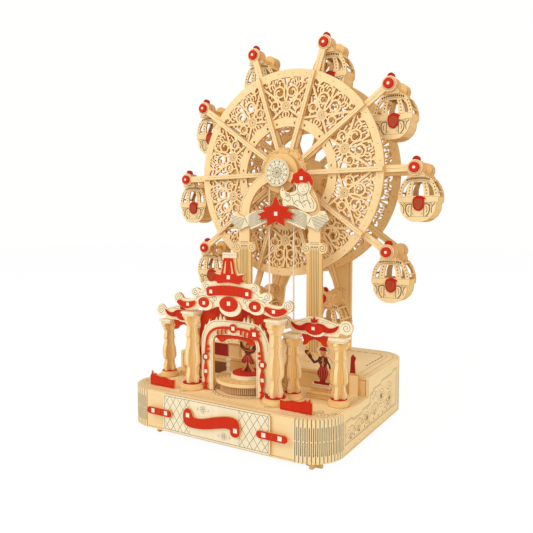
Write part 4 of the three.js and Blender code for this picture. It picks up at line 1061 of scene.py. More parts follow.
trousers = smooth(trousers, True, 3)
juggler = [(smooth(rim, True, 3), "wood:cream"), (trousers, "wine")]
juggler += ink(trousers, 0.5, closed=True, finish="cocoa")
waist = 3.3
for x in (-2.4, -0.9, 0.9, 2.4):
    stripe = moved([(x * 0.7, 10.6), (x, 8.0), (x * 0.8, 4.0)], waist)
    juggler += ink(stripe, 0.34, finish="blush")
coat = [(0.6, 17.0), (6.0, 17.0), (6.8, 14.4), (5.4, 12.2), (1.2, 12.2), (-0.2, 14.4)]
juggler += [(coat, "cocoa")] + ink([(waist, 16.2), (waist, 11.4)], 0.5, finish="tan_up")
raised_arm = [(1.0, 15.9), (-1.9, 13.9), (-4.2, 16.4), (-5.4, 15.2), (-2.6, 12.2), (1.2, 13.8)]
raised_cuff = [(-3.9, 15.4), (-3.8, 18.0), (-5.6, 19.8), (-8.4, 19.6), (-8.2, 17.8), (-6.2, 15.4)]
hanging_arm = [(5.8, 16.0), (8.0, 12.8), (8.4, 10.6), (7.2, 10.2), (6.8, 12.2), (5.4, 14.4)]
cap = [(0.6, 20.4), (6.2, 20.4), (5.6, 21.2), (5.2, 22.4), (3.2, 22.8), (1.4, 22.2), (1.2, 21.2)]
neck = [(2.2, 17.6), (4.6, 17.6), (4.2, 16.6), (2.6, 16.6)]
shoes = [(-2.8, 2.2), (-2.0, 0.5), (7.2, 0.5), (8.0, 2.2), (5.4, 2.2), (4.6, 3.8), (2.0, 3.8), (1.0, 2.2)]
juggler += [(disc(x, z, 0.36, 8), "skin") for x, z in ((2.4, 14.8), (4.4, 13.4), (2.6, 12.4))]
juggler += [(raised_arm, "cocoa"), (smooth(raised_cuff, True, 3), "cocoa")]
juggler += [(disc(-6.2, 18.2, 0.9, 10), "skin"), (hanging_arm, "cocoa")]
juggler += [(disc(8.3, 9.9, 0.8, 10), "skin"), (disc(3.4, 19.2, 1.9, 16), "skin")]
juggler += [(cap, "wine"), (neck, "ring"), (shoes, "wine")]
stand(shifted(juggler, figure_x, ground), "juggler", "juggler_dressed", "base", "wine", back="tan_up")

for node, tab_x in (("pediment_left", 0.6), ("pediment_right", -0.6)):
    low, high = reach(node)
    middle = (low.x + high.x) / 2
    volute_x = (high.x - low.x) / 2 - 3.9
    seat = low.z + 0.38 * (high.z - low.z)
    half = [(0, high.z), (4.0, high.z - 0.4), (10.4, 72.9), (14.6, 72.1)]
    half += arc(volute_x, seat + 5.5, 3.9, 150, -120, 18) + [(15.4, seat + 2.2), (14.2, seat), (8.6, seat)]
    half_cloth = [(8.2, seat), (7.9, 63.4), (6.9, 61.4), (7.7, 59.4), (7.0, low.z), (5.2, 59.2)]
    half_cloth += [(3.4, 61.2), (0, 62.5)]
    lines = ink(spiral(volute_x, seat + 5.5, 2.9, 0.5, 160, -440), 0.26, finish="lead")
    lines += ink([(2.0, 74.3), (8.0, 72.9), (14.0, 70.8)], 0.2, finish="lead")
    lines += ink([(4.0, 72.6), (9.0, 71.8)], 0.2, finish="lead")
    sheet = [(both_halves(half), "wood:cream")] + lines + mirrored(lines)
    sheet.append((both_halves(half_cloth), "wood:red"))
    for a in (-6.0, -4.4, -2.8, -1.0, 1.0, 2.8, 4.4, 6.0):
        sheet += ink([(a, seat - 0.4), (a * 1.06, seat - 2.6 - abs(a) * 0.12)], 0.26, finish="wine")
    stand(shifted(sheet, middle), node, node + "_dressed", "base", "pale_birch", back="tan_up")
    red_wing = [(1.8, 68.0), (1.4, 71.4), (5.0, 71.6), (8.4, 69.8), (11.4, 70.0), (14.8, 71.6), (13.2, 68.4)]
    red_wing += [(9.6, 67.0), (5.0, 67.2)]
    crown = [(-1.9, 72.0), (-2.2, 74.4), (-0.9, 73.6), (0, 75.9), (0.9, 73.6), (2.2, 74.4), (1.9, 72.0)]
    reds = [(smooth(red_wing, True, 3), "wood:ring")]
    reds += mirrored(reds) + [(crown, "wood:ring"), (oval(0, 68.2, 5.6, 3.1, 28), "wood:red")]
    reds += tab(tab_x, 68.7, 1.9)
    made = pegged(shifted(reds, middle), node, 1.0)
    crescent = [(oval(0.8, 67.4, 6.2, 3.3, 28), "wood:cream"), (oval(0, 68.3, 5.65, 3.1, 28), "cut")]
    made.upright(shifted(crescent, middle), low.y - 0.9, 0.85)
    show_reds(node + "_reds", made)

for node, side in (("sign_left", -1), ("sign_right", 1)):
    low, high = reach(node)
    x = (low.x + high.x) / 2
    top = low.z + 5.2
    shape = [(-9.7, low.z), (9.7, low.z), (9.7, top), (6.2, top - 0.3), (2.4, top + 0.9), (-1.6, top + 0.5)]
    shape += [(-4.4, top + 1.2), (-5.8, high.z + 0.6), (-7.0, top + 1.3), (-8.6, high.z + 1.8)]
    shape += [(-8.9, top + 1.2), (-9.7, top + 0.9)]
    outline = [(x - side * a, z) for a, z in shape]
    inner = [(x - side * a * 0.9, low.z + 0.6 + (z - low.z) * 0.74) for a, z in shape[:7] + shape[-1:]]
    sign = [(outline, "wood:red")] + ink(inner, 0.2, closed=True, finish="wine")
    stand(sign, node, node + "_dressed", "base", "vermilion", back="tan_up")

booth = Sheets()
panel_thick = 1.2
riser_front = reach("step_riser")[0].y
stall_front = riser_front + 1.4
hatch_floor, stall_floor = deck_high.z, rear_high.z
placard = [(58.9, 13.2), (62.3, 13.2), (61.8, 20), (62.6, 22.4), (60.6, 24.4), (59.4, 22.6)]
for drawing, finish, front, thickness, back in (
    (block(58.7, 64.0, hatch_floor, hatch_floor + 12.0), "pale", riser_front - 2.4, 2.2, "inside"),
    # The dark brown board left of the riser stands for the shadow and dark print there: painted shade.
    (block(-40, -29, hatch_floor, hatch_floor + 8), "cocoa_wood", riser_front - 1.4, panel_thick, "inside"),
    (moved(placard, 0, hatch_floor), "wine", riser_front - 2.0, panel_thick, "wine"),
    (block(-41.5, -30.6, stall_floor, stall_floor + 8.4), "wine", stall_front, panel_thick, "wine"),
    (block(-29.6, -21.6, stall_floor, stall_floor + 8.2), "pale", stall_front, 3.4, "pale"),
):
    booth.upright([(drawing, "wood:" + finish)], front, thickness, back=back)
hatch_top = [(block(58.7, 64.0, riser_front - 2.4, riser_front - 0.2), "wood:pale")]
booth.level(hatch_top, hatch_floor + 13.2, panel_thick, back="inside")
stall_top = [(block(-30.1, -21.1, stall_front - 0.5, stall_front + 3.9), "wood:pale")]
booth.level(stall_top, stall_floor + 9.4, panel_thick, back="pale")
show("booth", booth.mesh("booth"), "base", "pale_birch")


# Tower: a fretted ply board of two fluted pilasters and an arch that carry the front end of the axle.
# An engraved ribbon, a red star and a jester figure are pegged on its front, one over the other.
# A plainer tapered board behind the wheel carries the back end of the axle.
leg_x = 26.5
hub_z = hub[2]
deck_z = reach("tower_frame")[0].z
capital_top = hub_z - 44.6
arch_z = hub_z - 28.8
volute_z = capital_top - 4.0
axle_bore = (disc(0, hub_z, 2.3, 20), "cut")
leg = [(block(-4.2, 4.2, deck_z, arch_z + 0.2), "wood:pale_up")]
leg.append((block(-5.4, 5.4, deck_z, volute_z), "wood:tan_up"))
leg.append((block(-6.2, 6.2, deck_z, deck_z + 4.1), "wood:pale_up"))
leg.append((both_halves(arc(5.7, volute_z, 3.4, 128, -150, 16)), "wood:pale_up"))
leg.append((block(-4.2, 4.2, capital_top - 3.2, capital_top), "wood:pale_up"))
for i in range(6):
    flute = (i - 2.5) * 1.15
    leg += ink([(flute, deck_z + 6.5), (flute, volute_z - 0.4)], 0.36)
curl = ink(spiral(5.7, volute_z, 2.8, 0.4, 90, -510), 0.34, finish="lead")
leg += curl + mirrored(curl)
for drop in (0.5, 1.5):
    leg += ink([(-3.0, capital_top - drop), (3.0, capital_top - drop)], 0.3, finish="lead")
for i in range(-2, 3):
    leg.append((oval(i * 1.1, capital_top - 3.4, 0.4, 0.7, 8), "lead"))
tower = shifted(leg, -leg_x) + shifted(leg, leg_x)
outer = arc(0, arch_z, 30.5, 0, 180, 48)
inner = arc(0, arch_z + 1.8, 22.5, 0, 180, 40)
tower.append((outer + [(-22.5, arch_z)] + inner[::-1] + [(22.5, arch_z)], "wood:pale_up"))
tower += ink([(x * 0.965, arch_z + (z - arch_z) * 0.965) for x, z in outer[2:-2]], 0.16, finish="burn")
tower += [(disc(0, hub_z, 8.2, 40), "wood:pale_up"), axle_bore]
stand(tower, "tower_frame", "tower_board", "base", "pale_birch", back="tan_up")

rear_low, rear_high = reach("rear_frame")
rear_half, rear_rise = rear_high.x, hub_z - rear_low.z
shares = [(0, 0.84), (0.46, 0.45), (0.66, 0.34), (0.8, 0), (1, 0), (1, 0.56), (0.4, 1)]
rear_side = [(rear_half * a, rear_low.z + rear_rise * b) for a, b in shares]
# The board behind the wheel, and the rear rim and arms, take a brighter copy of the pale ply: painted light
# that lifts the shade they stand in.
add_finish("gold", "pale_ply_with_painted_light", (255, 230, 168), (255, 216, 146))
rear_board = [(both_halves(rear_side), "wood:gold"), (disc(0, hub_z, 13, 40), "wood:gold")]
line_x = rear_half - 1.6
line = ink([(line_x, rear_low.z + 3), (line_x, rear_low.z + rear_rise * 0.55)], 0.2, finish="burn")
rear_board += line + mirrored(line) + ink(disc(0, hub_z, 11.4, 36), 0.2, closed=True, finish="burn")
rear_board.append(axle_bore)
stand(rear_board, "rear_frame", "rear_board", "base", "birch", edge="gold", back="tan_up")

band_top = [(0, 135.6), (6, 136.0), (12.6, 136.3), (19.4, 134.9), (25.2, 132.0)]
band_low = [(20.4, 123.4), (16.2, 124.9), (12.4, 126.4), (6.0, 129.0), (0, 129.4)]
tail = [(25.2, 132.0), (28.4, 133.0), (31.2, 135.4), (34.4, 135.0), (35.6, 133.2), (37.4, 129.6)]
tail += [(34.2, 126.6), (29.6, 122.3), (25.4, 124.6), (21.6, 125.8), (23.8, 128.6)]
ribbon = [(smooth(band_top, False) + smooth(band_low, False), "wood:cream")]
hatch_rows = 11
for i in range(hatch_rows):
    share = (i + 0.8) / (hatch_rows + 0.6)
    row = []
    for step in range(19):
        x = 3 + step * 1.05
        top_z = 136.2 - 0.0078 * (x - 10) ** 2 - 0.35 * max(0, x - 16)
        low_z = 129.4 - 0.0132 * x * x
        row.append((x, low_z + (top_z - low_z) * share + 0.2 * math.sin(step * 1.3)))
    ribbon += ink(row, 0.32, finish="lead")
ribbon.append((tail, "wood:cream"))
for i in range(10):
    end_x = 35.4 + i * 0.2 - max(0, i - 4) * 0.9
    ribbon += ink([(25.0 + i * 0.35, 130.6 - i * 0.8), (end_x, 132.8 - i * 0.95)], 0.32, finish="lead")
ribbon += ink(tail, 0.22, closed=True, finish="lead")
ribbon.append(([(28.6, 132.8), (30.6, 131.2), (33.2, 133.2), (31.2, 135.0)], "pale_up"))
ribbon += mirrored(ribbon)
stand(ribbon, "ribbon", "ribbon_dressed", "base", "pale_birch", back="tan_up")

star_middle = 133.6
spikes = [(0, 145.4), (3.1, 139.0), (10.2, 137.9), (8.5, 135.3), (13.9, 133.5), (11.2, 132.0), (12.7, 129.8)]
spikes += [(6.6, 130.9), (6.5, 125.7), (0, 128.8)]
star_shape = [(both_halves(spikes), "wood:red")]
for x, z in ((2.3, 5.8), (7.6, 3.0), (9.6, -0.8), (5.4, -5.2)):
    ray = [(x * share, star_middle + z * share) for share in (0.42, 0.9)]
    star_shape += ink(ray, 0.2, finish="ring") + mirrored(ink(ray, 0.2, finish="ring"))
star_shape += tab(0, star_middle + 0.1, 2.5)
stand(star_shape, "star", "star_dressed", "base", "vermilion", back="tan_up")

body = [(4.5, 151.2), (5.2, 149.4), (6.6, 148.0), (9.4, 147.2), (12.6, 147.6), (14.4, 149.2)]
body += [(13.8, 152.0), (14.6, 154.4), (24.0, 154.4), (25.0, 151.4), (24.4, 148.4), (23.4, 146.8)]
body += [(25.0, 144.6), (27.2, 141.6), (28.6, 138.6), (27.4, 135.4), (23.6, 134.6), (20.0, 134.9)]
body += [(15.6, 137.0), (11.8, 138.8), (7.4, 139.0), (4.0, 140.2), (4.6, 142.6), (3.2, 144.8)]
body += [(2.4, 147.0), (3.0, 149.4)]
jester = [(smooth(body, True, 3), "wood:cream")]
for points in (
    [(4.6, 151.0), (3.9, 148.6), (5.6, 149.4)],
    [(6.0, 147.6), (9.4, 145.2), (12.6, 145.4), (15.6, 146.8)],
    [(5.6, 143.0), (8.2, 141.6), (10.2, 143.4), (8.6, 144.8), (6.4, 144.4)],
    [(11.2, 144.0), (12.6, 140.4), (15.6, 138.6)],
    [(16.2, 146.0), (17.0, 141.8), (19.8, 137.4)],
    [(21.4, 146.0), (22.6, 142.0), (24.8, 137.0)],
    [(14.6, 146.4), (18.4, 144.6), (22.4, 146.4)],
    [(25.0, 143.2), (26.8, 139.4), (26.2, 136.4)],
    [(12.4, 139.4), (14.8, 142.2), (18.0, 140.2), (21.4, 142.0), (24.6, 139.6)],
    [(6.4, 146.4), (7.8, 145.2), (9.8, 147.2)],
):
    jester += ink(smooth(points, False, 3), 0.36)
jester += ink(disc(19.2, 149.8, 4.1, 24), 0.34, closed=True)
for points, width in (
    ([(17.0, 150.6), (17.6, 151.0), (18.2, 150.6)], 0.22),
    ([(20.2, 150.6), (20.8, 151.0), (21.4, 150.6)], 0.22),
    ([(19.2, 150.0), (19.0, 149.0), (19.5, 148.9)], 0.18),
    ([(17.9, 147.8), (19.2, 147.3), (20.5, 147.8)], 0.24),
):
    jester += ink(points, width, finish="lead")
for x, z in ((18.8, 143.4), (19.6, 141.2), (20.6, 139.0)):
    jester += ink(disc(x, z, 0.6, 8), 0.2, closed=True, finish="lead")
stand(jester, "jester", "jester_dressed", "base", "pale_birch", back="tan_up")

hat = [(10.8, 153.6), (12.0, 155.8), (12.6, 158.6), (15.4, 159.6), (16.6, 161.4), (19.0, 161.9)]
hat += [(20.6, 160.0), (23.4, 158.6), (25.6, 156.0), (26.6, 153.2), (26.2, 150.8), (24.8, 151.6)]
hat += [(23.6, 153.8), (21.4, 152.6), (18.6, 153.2), (15.4, 152.4), (13.4, 153.6), (12.2, 152.4)]
hat_sheet = [(smooth(hat, True, 3), "wood:red")] + tab(18.3, 155.8, 2.2)
for points in ([(13.4, 156.6), (15.6, 155.0), (16.0, 153.6)], [(24.4, 156.2), (22.4, 155.2), (21.8, 153.8)]):
    hat_sheet += ink(smooth(points, False, 3), 0.24, finish="wine")
show_reds("jester_hat", pegged(hat_sheet, "jester", 1.1))


# Wheel: two fretted ply rims with ten long arms, thin bars over the front one, a scalloped flower and a cap.
# Each tenth of a rim is one drawing of crossed braces, a rosette and curls, repeated round the hub.
# The axle is a dowel that turns with the wheel, with a thicker drum between the arms.
def radial(distance, degrees):
    """A point by its distance from the hub and its angle from the middle of a sector, which points up."""
    return on_circle(0, 0, distance, 90 - degrees)


arms = 10
half = 180 / arms
rim_radius = reach("front_rim")[1].x
pin_radius = 86
far_out = 140


def sector(layers):
    """The drawing kept to one tenth of the wheel."""
    for side in (-1, 1):
        corners = [radial(far_out, side * turn) for turn in (half, 100, 179)]
        layers = layers + [([(0, 0)] + corners, "cut")]
    return layers


def on_boundary(a, b):
    """Whether an edge lies on the line between two sectors, where no side wall is wanted."""
    for side in (-1, 1):
        across = Vector(radial(1, side * half + 90))
        if abs(a.dot(across)) < 2e-3 and abs(b.dot(across)) < 2e-3:
            return True
    return False


def wheel_part(name, node, drawing, slot, finish):
    """One sector of a wheel sheet, set at its node's depth and repeated ten times round the hub."""
    low, high = reach(node)
    sheets = Sheets()
    front, thickness = low.y, high.y - low.y
    sheets.upright(sector(drawing), front, thickness, open_edge=on_boundary, back=finish)
    whole = repeat_round(sheets.mesh(name), name, arms, (0, 0, hub_z * MM), (0, 1, 0))
    return show(name, whole, "wheel", slot, node)


def ring_band(inner, outer, finish, steps=16):
    """A strip of a ring that reaches a little past both sides of the sector."""
    return [(arc(0, 0, outer, 90 + half + 1, 90 - half - 1, steps)
             + arc(0, 0, inner, 90 - half - 1, 90 + half + 1, steps), finish)]


def rim_drawing(wood):
    tone = "wood:" + wood
    layers = ring_band(rim_radius - 5.1, rim_radius, tone) + ring_band(31.0, 37.0, tone)
    both = []
    for points, width in (
        ([radial(33, half), radial(64, half)], 3.4), ([radial(37.4, -half), radial(61.5, half)], 1.5),
        (arc(4.9, 53.6, 3.7, -60, 215, 18), 1.25), (spiral(4.9, 53.6, 3.7, 0.9, 215, 470, 16), 1.0),
        ([(0, 47), (1.0, 50.4), (1.2, 53.6), (0.6, 57), (1.8, 62.4)], 1.2),
        (smooth([(4.9, 49.9), (7.6, 49.0), (9.2, 51.2)], False), 1.0),
        (arc(4.4, 60.3, 2.0, -30, 200, 12), 1.0), ([(4.6, 57.2), (4.4, 60.0)], 0.9),
        (arc(10.2, 57.2, 2.1, -80, 190, 14), 1.0), ([(8.4, 55.0), (10.2, 57.2), (9.6, 61.8)], 0.9),
        (arc(14.6, 59.4, 1.5, 60, 330, 10), 0.9), ([(12.2, 56.4), (13.2, 60.4), (12.6, 61.6)], 0.9),
        (arc(8.3, 45.2, 2.9, -150, 160, 18), 1.15), (spiral(8.3, 45.2, 2.9, 0.8, 160, 400, 12), 0.9),
        ([(10.6, 47.0), (13.0, 50.4)], 1.0), ([(11.2, 45.0), (14.6, 44.6)], 1.0),
        ([(8.0, 48.0), (7.2, 50.4)], 1.0), ([(8.0, 42.4), (7.0, 39.8)], 1.0),
        ([(5.8, 44.4), (3.2, 44.5)], 1.0), (arc(11.6, 51.6, 1.4, 0, 250, 10), 0.8),
        (smooth([(0.2, 41.4), (2.2, 40.0), (2.0, 37.8), (0.6, 36.8)], False), 0.9),
        ([(0, 42), (0, 36.6)], 1.0),
    ):
        both += band(points, width, tone)
    for shape in (
        disc(4.4, 60.0, 0.8, 10), [(7.4, 60.2), (8.8, 58.6), (8.4, 61.9), (6.6, 62.2)],
        [(3.2, 37.0), (4.4, 39.4), (5.6, 36.9)], [(0.9, 62.2), (2.2, 59.6), (3.0, 62.4)],
        [(11.2, 62.2), (12.4, 58.6), (14.0, 61.9)],
    ):
        both.append((shape, tone))
    layers += both + mirrored(both)
    rosette = 44.5
    layers.append((star(0, rosette, 4.1, 3.2, 10), tone))
    layers += ink(disc(0, rosette, 2.7, 16), 0.18, closed=True, finish="burn")
    for angle in range(0, 360, 45):
        petal = on_circle(0, rosette, 1.75, angle)
        layers += ink(disc(*petal, 0.6, 8), 0.16, closed=True, finish="burn")
    layers.append((disc(0, rosette, 0.55, 10), "cut"))
    for side in (-1, 1):
        layers.append((disc(*radial(33.6, side * 11.5), 0.8, 10), "cut"))
        for angle in (13.6, 4.5):
            layers.append((disc(*radial(rim_radius - 2.3, side * angle), 0.3, 6), "burn"))
    return layers


wheel_part("rim_front", "front_rim", rim_drawing("pale_up"), "pale_birch", "tan_up")
# The rear rim is cut from the brighter ply, painted light over its shade.
wheel_part("rim_rear", "rear_rim", rim_drawing("gold"), "birch", "pale_up")


def arm_drawing(wood):
    tone = "wood:" + wood
    end = radial(pin_radius, half)
    both = band([radial(9, half), end], 4.2, tone) + [(disc(*end, 4.7, 28), tone)]
    both += ink([radial(15, half), radial(80, half)], 0.16, finish="burn")
    both += ink(disc(*end, 3.9, 20), 0.16, closed=True, finish="burn")
    both.append((disc(*end, 1.5, 16), "cut"))
    return ring_band(0, 13.0, tone, 8) + both + mirrored(both) + [hub_bore]


hub_bore = (disc(0, 0, 2.3, 30), "cut")
wheel_part("arms_front", "front_arms", arm_drawing("pale_up"), "pale_birch", "tan_up")
# The rear arms are cut from the same brighter ply, painted light over their shade.
wheel_part("arms_rear", "rear_arms", arm_drawing("gold"), "birch", "pale_up")

bar = band([radial(10, half), radial(rim_radius - 0.2, half)], 2.8, "wood:pale_up")
bar += ink([radial(16, half), radial(65, half)], 0.14, finish="burn")
bars = ring_band(0, 14.5, "wood:pale_up", 8) + bar + mirrored(bar) + [hub_bore]
wheel_part("bars_front", "front_bars", bars, "pale_birch", "tan_up")

petal = [(-4.1, 12.6), (-4.4, 15.0), (-3.4, 17.0), (-1.4, 16.7), (0, 19.0), (1.4, 16.7), (3.4, 17.0)]
petal += [(4.4, 15.0), (4.1, 12.6)]
petals = ring_band(0, 13.4, "wood:tan_up", 8) + [(petal, "wood:tan_up")]
petals += ink([(x * 0.86, z - 1.0) for x, z in petal[1:-1]], 0.22, finish="burn")
petals += ink(arc(0, 0, 12.4, 72, 108, 10), 0.2, finish="burn") + [hub_bore]
wheel_part("hub_flower", "flower_disc", petals, "birch", "tan_up")

cap_radius = reach("hub_cap")[1].x
cap = [(disc(0, hub_z, cap_radius, 48), "wood:cream")]
cap += ink(disc(0, hub_z, cap_radius - 0.6, 40), 0.22, closed=True, finish="lead")
cap += ink(disc(0, hub_z, 3.1, 20), 0.18, closed=True, finish="lead")
for angle in range(0, 360, 30):
    cap += ink(disc(*on_circle(0, hub_z, 2.2, angle), 1.0, 10), 0.2, closed=True, finish="lead")
    cap += ink(disc(*on_circle(0, hub_z, 5.4, angle), 2.2, 14), 0.24, closed=True, finish="lead")
    for distance, size in ((7.4, 0.45), (5.4, 0.4)):
        cap.append((disc(*on_circle(0, hub_z, distance, angle + 15), size, 8), "lead"))
cap.append((disc(0, hub_z, 0.8, 12), "burn"))
stand(cap, "hub_cap", "hub_cap_dressed", "wheel", "pale_birch", back="tan_up")

axle_low, axle_high = reach("wheel_axle")
drum_front, drum_back = reach("front_arms")[1].y + 0.3, reach("rear_arms")[0].y - 0.3
axle = [(0, axle_low.y, "edge"), (2.0, axle_low.y, "tan"), (2.0, drum_front, "edge")]
axle += [(4.0, drum_front, "tan"), (4.0, drum_back, "edge"), (2.0, drum_back, "tan")]
axle += [(2.0, axle_high.y, "edge"), (0, axle_high.y, "edge")]
axle_piece = turned(Sheets(), axle, "Y", hub)
show("axle_dowel", axle_piece.mesh("axle_dowel"), "wheel", "dark_birch", "wheel_axle")


# Gondolas: two lantern-shaped sheets with windows, joined by boards down their sides, and two hangers.
# Ribs, dots and draped basket panels are printed on the fronts, with a red and brown seat in the middle.
# Each hangs on its own pin, which red washers with pale centres keep in the arms.
pin_low, pin_high = reach("front_rim")[1].y - 1.7, reach("rear_rim")[1].y - 0.3
hang_front = reach("front_arms")[1].y + 0.6
hang_back = reach("rear_arms")[0].y - 0.6
middle = (hang_front + hang_back) / 2
sheet_front = middle - 7.2
sheet_back = middle + 6.0
thin = 1.2
inner_front = sheet_front + thin

add_finish("pitch", "dark_print", (112, 92, 72), (74, 56, 42), roughness=PRINTED)
add_finish("leather", "brown_seat", (192, 88, 40), (160, 60, 26), roughness=0.6)
half_lantern = [(5.2, -4.3), (8.3, -6.6), (10.6, -10.2), (12.0, -14.2), (12.3, -17.2), (12.2, -19.8)]
half_lantern += [(11.0, -21.2), (10.7, -24.9), (9.0, -28.2), (6.2, -30.7)]
lantern = both_halves(half_lantern + [(4.2, -31.6), (2.2, -32.1)])


def gondola_sheet(wood, printed):
    tone = "wood:" + wood
    layers = [(lantern, tone)]
    neck = arc(0, 0, 4.6, -35, 215, 24) + [(-5.2, -4.3), (-5.2, -4.6), (5.2, -4.6), (5.2, -4.3)]
    layers += [(neck, tone), (disc(0, 0, 1.3, 14), "cut")]
    middle_gap = [(-2.4, -8.2), (2.4, -8.2), (3.4, -12), (3.6, -16.4), (-3.6, -16.4), (-3.4, -12)]
    layers.append((middle_gap, "cut"))
    window = [(5.2, -8.2), (6.6, -8.9), (8.6, -11.4), (9.5, -14.0), (9.8, -16.4), (7.0, -16.4), (6.8, -12.6)]
    layers += [(window, "cut")] + mirrored([(window, "cut")])
    if not printed:
        return layers
    lines = []
    for i in range(6):
        rib = [(-0.42, -0.62), (0.36, -0.66), (0.42, 0.55), (-0.42, 0.6)]
        lines.append((moved(rib, 0.6 + i * 1.2, -5.7 - 0.04 * i * i), "pitch"))
    dots = 4
    for start, end in ((3.6, 5.3), (7.9, 11.0)):
        for i in range(dots):
            share = (i + 0.6) / dots
            x = start + (end - start) * math.sqrt(share)
            lines.append((disc(x + 0.1, -8.2 - 7.6 * share, 0.42, 8), "pitch"))
    drape = [(3.8, -21.4), (6.3, -21.5), (7.3, -23.8), (6.7, -26.8), (5.2, -28.7)]
    for points, width, finish in (
        ([(0, -7.1), (4.6, -7.4), (7.8, -8.7)], 0.18, "lead"), ([(3.8, -16.9), (11.8, -17.0)], 0.14, "lead"),
        ([(3.6, -20.6), (11.2, -20.4)], 0.26, "pitch"), (smooth(drape, False), 0.62, "pitch"),
        (smooth([(10.2, -21.2), (8.9, -22.6), (8.3, -24.6), (8.6, -26.6)], False), 0.5, "pitch"),
        (smooth([(5.0, -22.6), (5.8, -24.2), (5.4, -26.2)], False), 0.34, "pitch"),
        ([(3.7, -21.8), (3.9, -28.6)], 0.5, "lead"), ([(0.2, -29.0), (6.9, -29.0)], 0.2, "lead"),
        ([(2.2, -27.8), (3.0, -26.6), (3.2, -27.8)], 0.2, "lead"),
    ):
        lines += ink(points, width, finish=finish)
    lines += ink(disc(7.9, -21.6, 0.7, 8), 0.26, closed=True, finish="pitch")
    layers += lines + mirrored(lines)
    return layers


def add_seat(car):
    back_edge = [(-2.7, -22.6), (-2.9, -19.6), (-2.2, -17.6), (-0.4, -16.5), (2.0, -16.4), (4.9, -17.9)]
    front_edge = [(3.9, -18.7), (3.9, -22.4), (2.8, -24.6), (0.6, -25.5), (-1.6, -24.6)]
    cushion = [(-1.7, -19.2), (0.4, -18.2), (2.8, -19.2), (2.9, -22.2), (0.6, -24.7), (-1.7, -22.4)]
    seat = [(smooth(back_edge, False) + smooth(front_edge, False), "wood:ring")]
    seat.append((smooth(cushion, True, 3), "leather"))
    for x in (-0.6, 0.4, 1.4):
        seat += ink([(x, -18.8), (x, -22.6)], 0.2, finish="wine")
    car.upright(seat, sheet_front - 0.9, 0.9, edge="wine")


def add_side_boards(car, upper, lower, open_board):
    """A board on each side between the two sheets, along one straight stretch of the lantern's outline."""
    length = math.dist(upper, lower)
    across, up = (lower[0] - upper[0]) / length, (lower[1] - upper[1]) / length
    board = [(block(inner_front, sheet_back, 0, length), "wood:tan")]
    if open_board:
        board.append((block(inner_front + thin, sheet_back - thin, 0.8, length - 0.8), "cut"))
    for side in (-1, 1):
        def place(run, rise, inward):
            x = upper[0] + across * rise + up * (0.15 + inward)
            return (side * x, run, upper[1] + up * rise - across * (0.15 + inward))
        first = len(car.faces)
        car.add(board, place, 1.0, back="inside")
        if side > 0:
            car.faces[first:] = [face[::-1] for face in car.faces[first:]]


def gondola():
    """One gondola with its pin on the hub's axis, to be moved to the end of an arm."""
    car = Sheets()
    car.upright(gondola_sheet("pale_up", True), sheet_front, thin, back="tan_up")
    car.upright(gondola_sheet("tan_up", False), sheet_back, thin, back="pale_up")
    add_seat(car)
    hanger_foot = [(-5.4, -4.2), (-5.2, -5.6), (5.2, -5.6), (5.4, -4.2)]
    hanger = [(arc(0, 0, 4.5, -30, 210, 24) + hanger_foot, "wood:pale_up")]
    for radius in (2.2, 3.2, 4.0):
        hanger += ink(arc(0, 0, radius, -40, 220, 20), 0.18, finish="burn")
    for front in (hang_front, hang_back - PLY):
        car.upright(hanger, front, PLY, back="tan_up")
    car.upright([(disc(0, 4.8, 2.3, 24), "wood:ring")], hang_front - 0.05, 2.1, edge="ring", back="ring")
    car.level([(block(-5.0, 5.0, inner_front, sheet_back), "wood:tan")], -5.4, 1.2, back="inside")
    for upper, lower in ((4, 6), (6, 7), (7, 8), (8, 9), (1, 3)):
        add_side_boards(car, half_lantern[upper], half_lantern[lower], open_board=upper == 1)
    floor_z = half_lantern[9][1] + 1.2
    car.level([(block(-6.6, 6.6, inner_front, sheet_back), "wood:tan")], floor_z, 1.0, back="tan")
    rod(car, 1.2, pin_low, pin_high, "Y", (0, 0, 0), side="tan", end="white", steps=16)
    for near, far in ((pin_low, pin_low + 1.7), (pin_high - 1.7, pin_high)):
        washer = [(0.9, near - 0.03, "red"), (2.9, near - 0.03, "ring"), (3.1, near + 0.2, "ring")]
        washer += [(3.1, far - 0.2, "ring"), (2.9, far, "red"), (1.25, far, "ring")]
        turned(car, washer, "Y", (0, 0, 0), 28)
    return car


car = gondola()
for i in range(arms):
    x, z = on_circle(0, hub_z, pin_radius, 360 * i / arms)
    hung = Sheets()
    hung.points = [(x + px, py, z + pz) for px, py, pz in car.points]
    hung.faces, hung.finishes = car.faces, car.finishes
    name = f"gondola_{i + 1}"
    show(name + "_dressed", hung.mesh(name + "_dressed"), f"car_{i + 1}", "pale_birch", name)


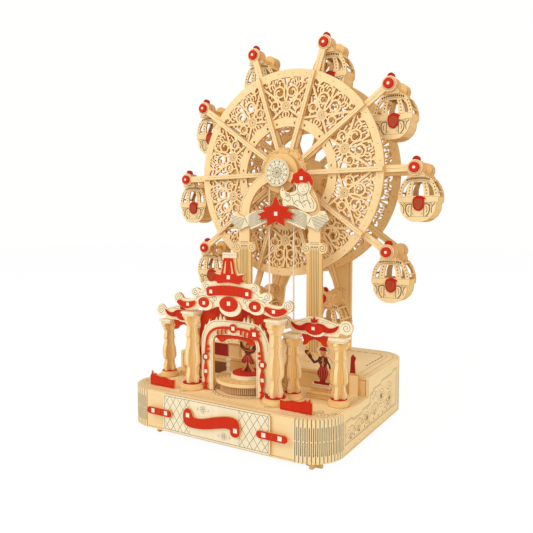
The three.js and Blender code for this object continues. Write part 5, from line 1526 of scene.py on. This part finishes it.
# Studio: a plain white floor that keeps a faint shadow, three large soft lamps and a pale surround.
# The camera stands at the right front, a little above the stage, where the photograph was taken.
floor = bpy.data.meshes.new("studio_floor")
floor.from_pydata([(-3, -3, 0), (3, -3, 0), (3, 3, 0), (-3, 3, 0)], [], [(0, 1, 2, 3)])
floor_piece = bpy.data.objects.new("studio_floor", floor)
bpy.context.scene.collection.objects.link(floor_piece)
paper = bpy.data.materials.new("white_paper")
paper.use_nodes = True
paper_tree = paper.node_tree
paper_shader = paper_tree.nodes["Principled BSDF"]
paper_shader.inputs["Base Color"].default_value = (0.9, 0.9, 0.89, 1)
paper_shader.inputs["Roughness"].default_value = 0.9
paper_shader.inputs["Specular IOR Level"].default_value = 0.1
glow = paper_tree.nodes.new("ShaderNodeEmission")
glow.inputs["Strength"].default_value = 1.02
blend = paper_tree.nodes.new("ShaderNodeMixShader")
path = Value(paper_tree).node("ShaderNodeLightPath", {}, {}, "Is Camera Ray")
paper_tree.links.new((path * 0.94).socket, blend.inputs[0])
paper_tree.links.new(paper_shader.outputs[0], blend.inputs[1])
paper_tree.links.new(glow.outputs[0], blend.inputs[2])
paper_tree.links.new(blend.outputs[0], paper_tree.nodes["Material Output"].inputs["Surface"])
floor.materials.append(paper)

world = bpy.data.worlds.new("studio")
world.use_nodes = True
bpy.context.scene.world = world
sky_tree = world.node_tree
sky = sky_tree.nodes["Background"]
sky.inputs["Color"].default_value = (1.0, 1.0, 0.985, 1)
seen = Value(sky_tree).node("ShaderNodeLightPath", {}, {}, "Is Camera Ray")
sky_tree.links.new((0.58 + seen * 0.42).socket, sky.inputs["Strength"])

for name, spot, size, power, tint in (
    ("key", (-0.45, -0.75, 0.75), 0.7, 4.4, (1.0, 0.98, 0.95)),
    ("fill", (0.85, -0.45, 0.45), 0.8, 2.8, (1.0, 0.98, 0.96)),
    ("back", (0.2, 0.8, 0.8), 0.8, 1.2, (1.0, 0.98, 0.96)),
):
    lamp = bpy.data.lights.new(name, "AREA")
    lamp.size = size
    lamp.energy = power
    lamp.color = tint
    lamp_object = bpy.data.objects.new(name, lamp)
    lamp_object.location = spot
    aim = Vector((0, 0, 0.12)) - Vector(spot)
    lamp_object.rotation_euler = aim.to_track_quat("-Z", "Y").to_euler()
    bpy.context.scene.collection.objects.link(lamp_object)

lens = bpy.data.cameras.new("camera")
lens.lens = 37.97
lens.sensor_width = 36
camera = bpy.data.objects.new("camera", lens)
camera.location = (0.1848, -0.32585, 0.1255)
camera.rotation_euler = (math.radians(90 - 4.0835), 0, math.radians(31.204))
bpy.context.scene.collection.objects.link(camera)
bpy.context.scene.camera = camera
bpy.context.scene.view_settings.view_transform = "Standard"
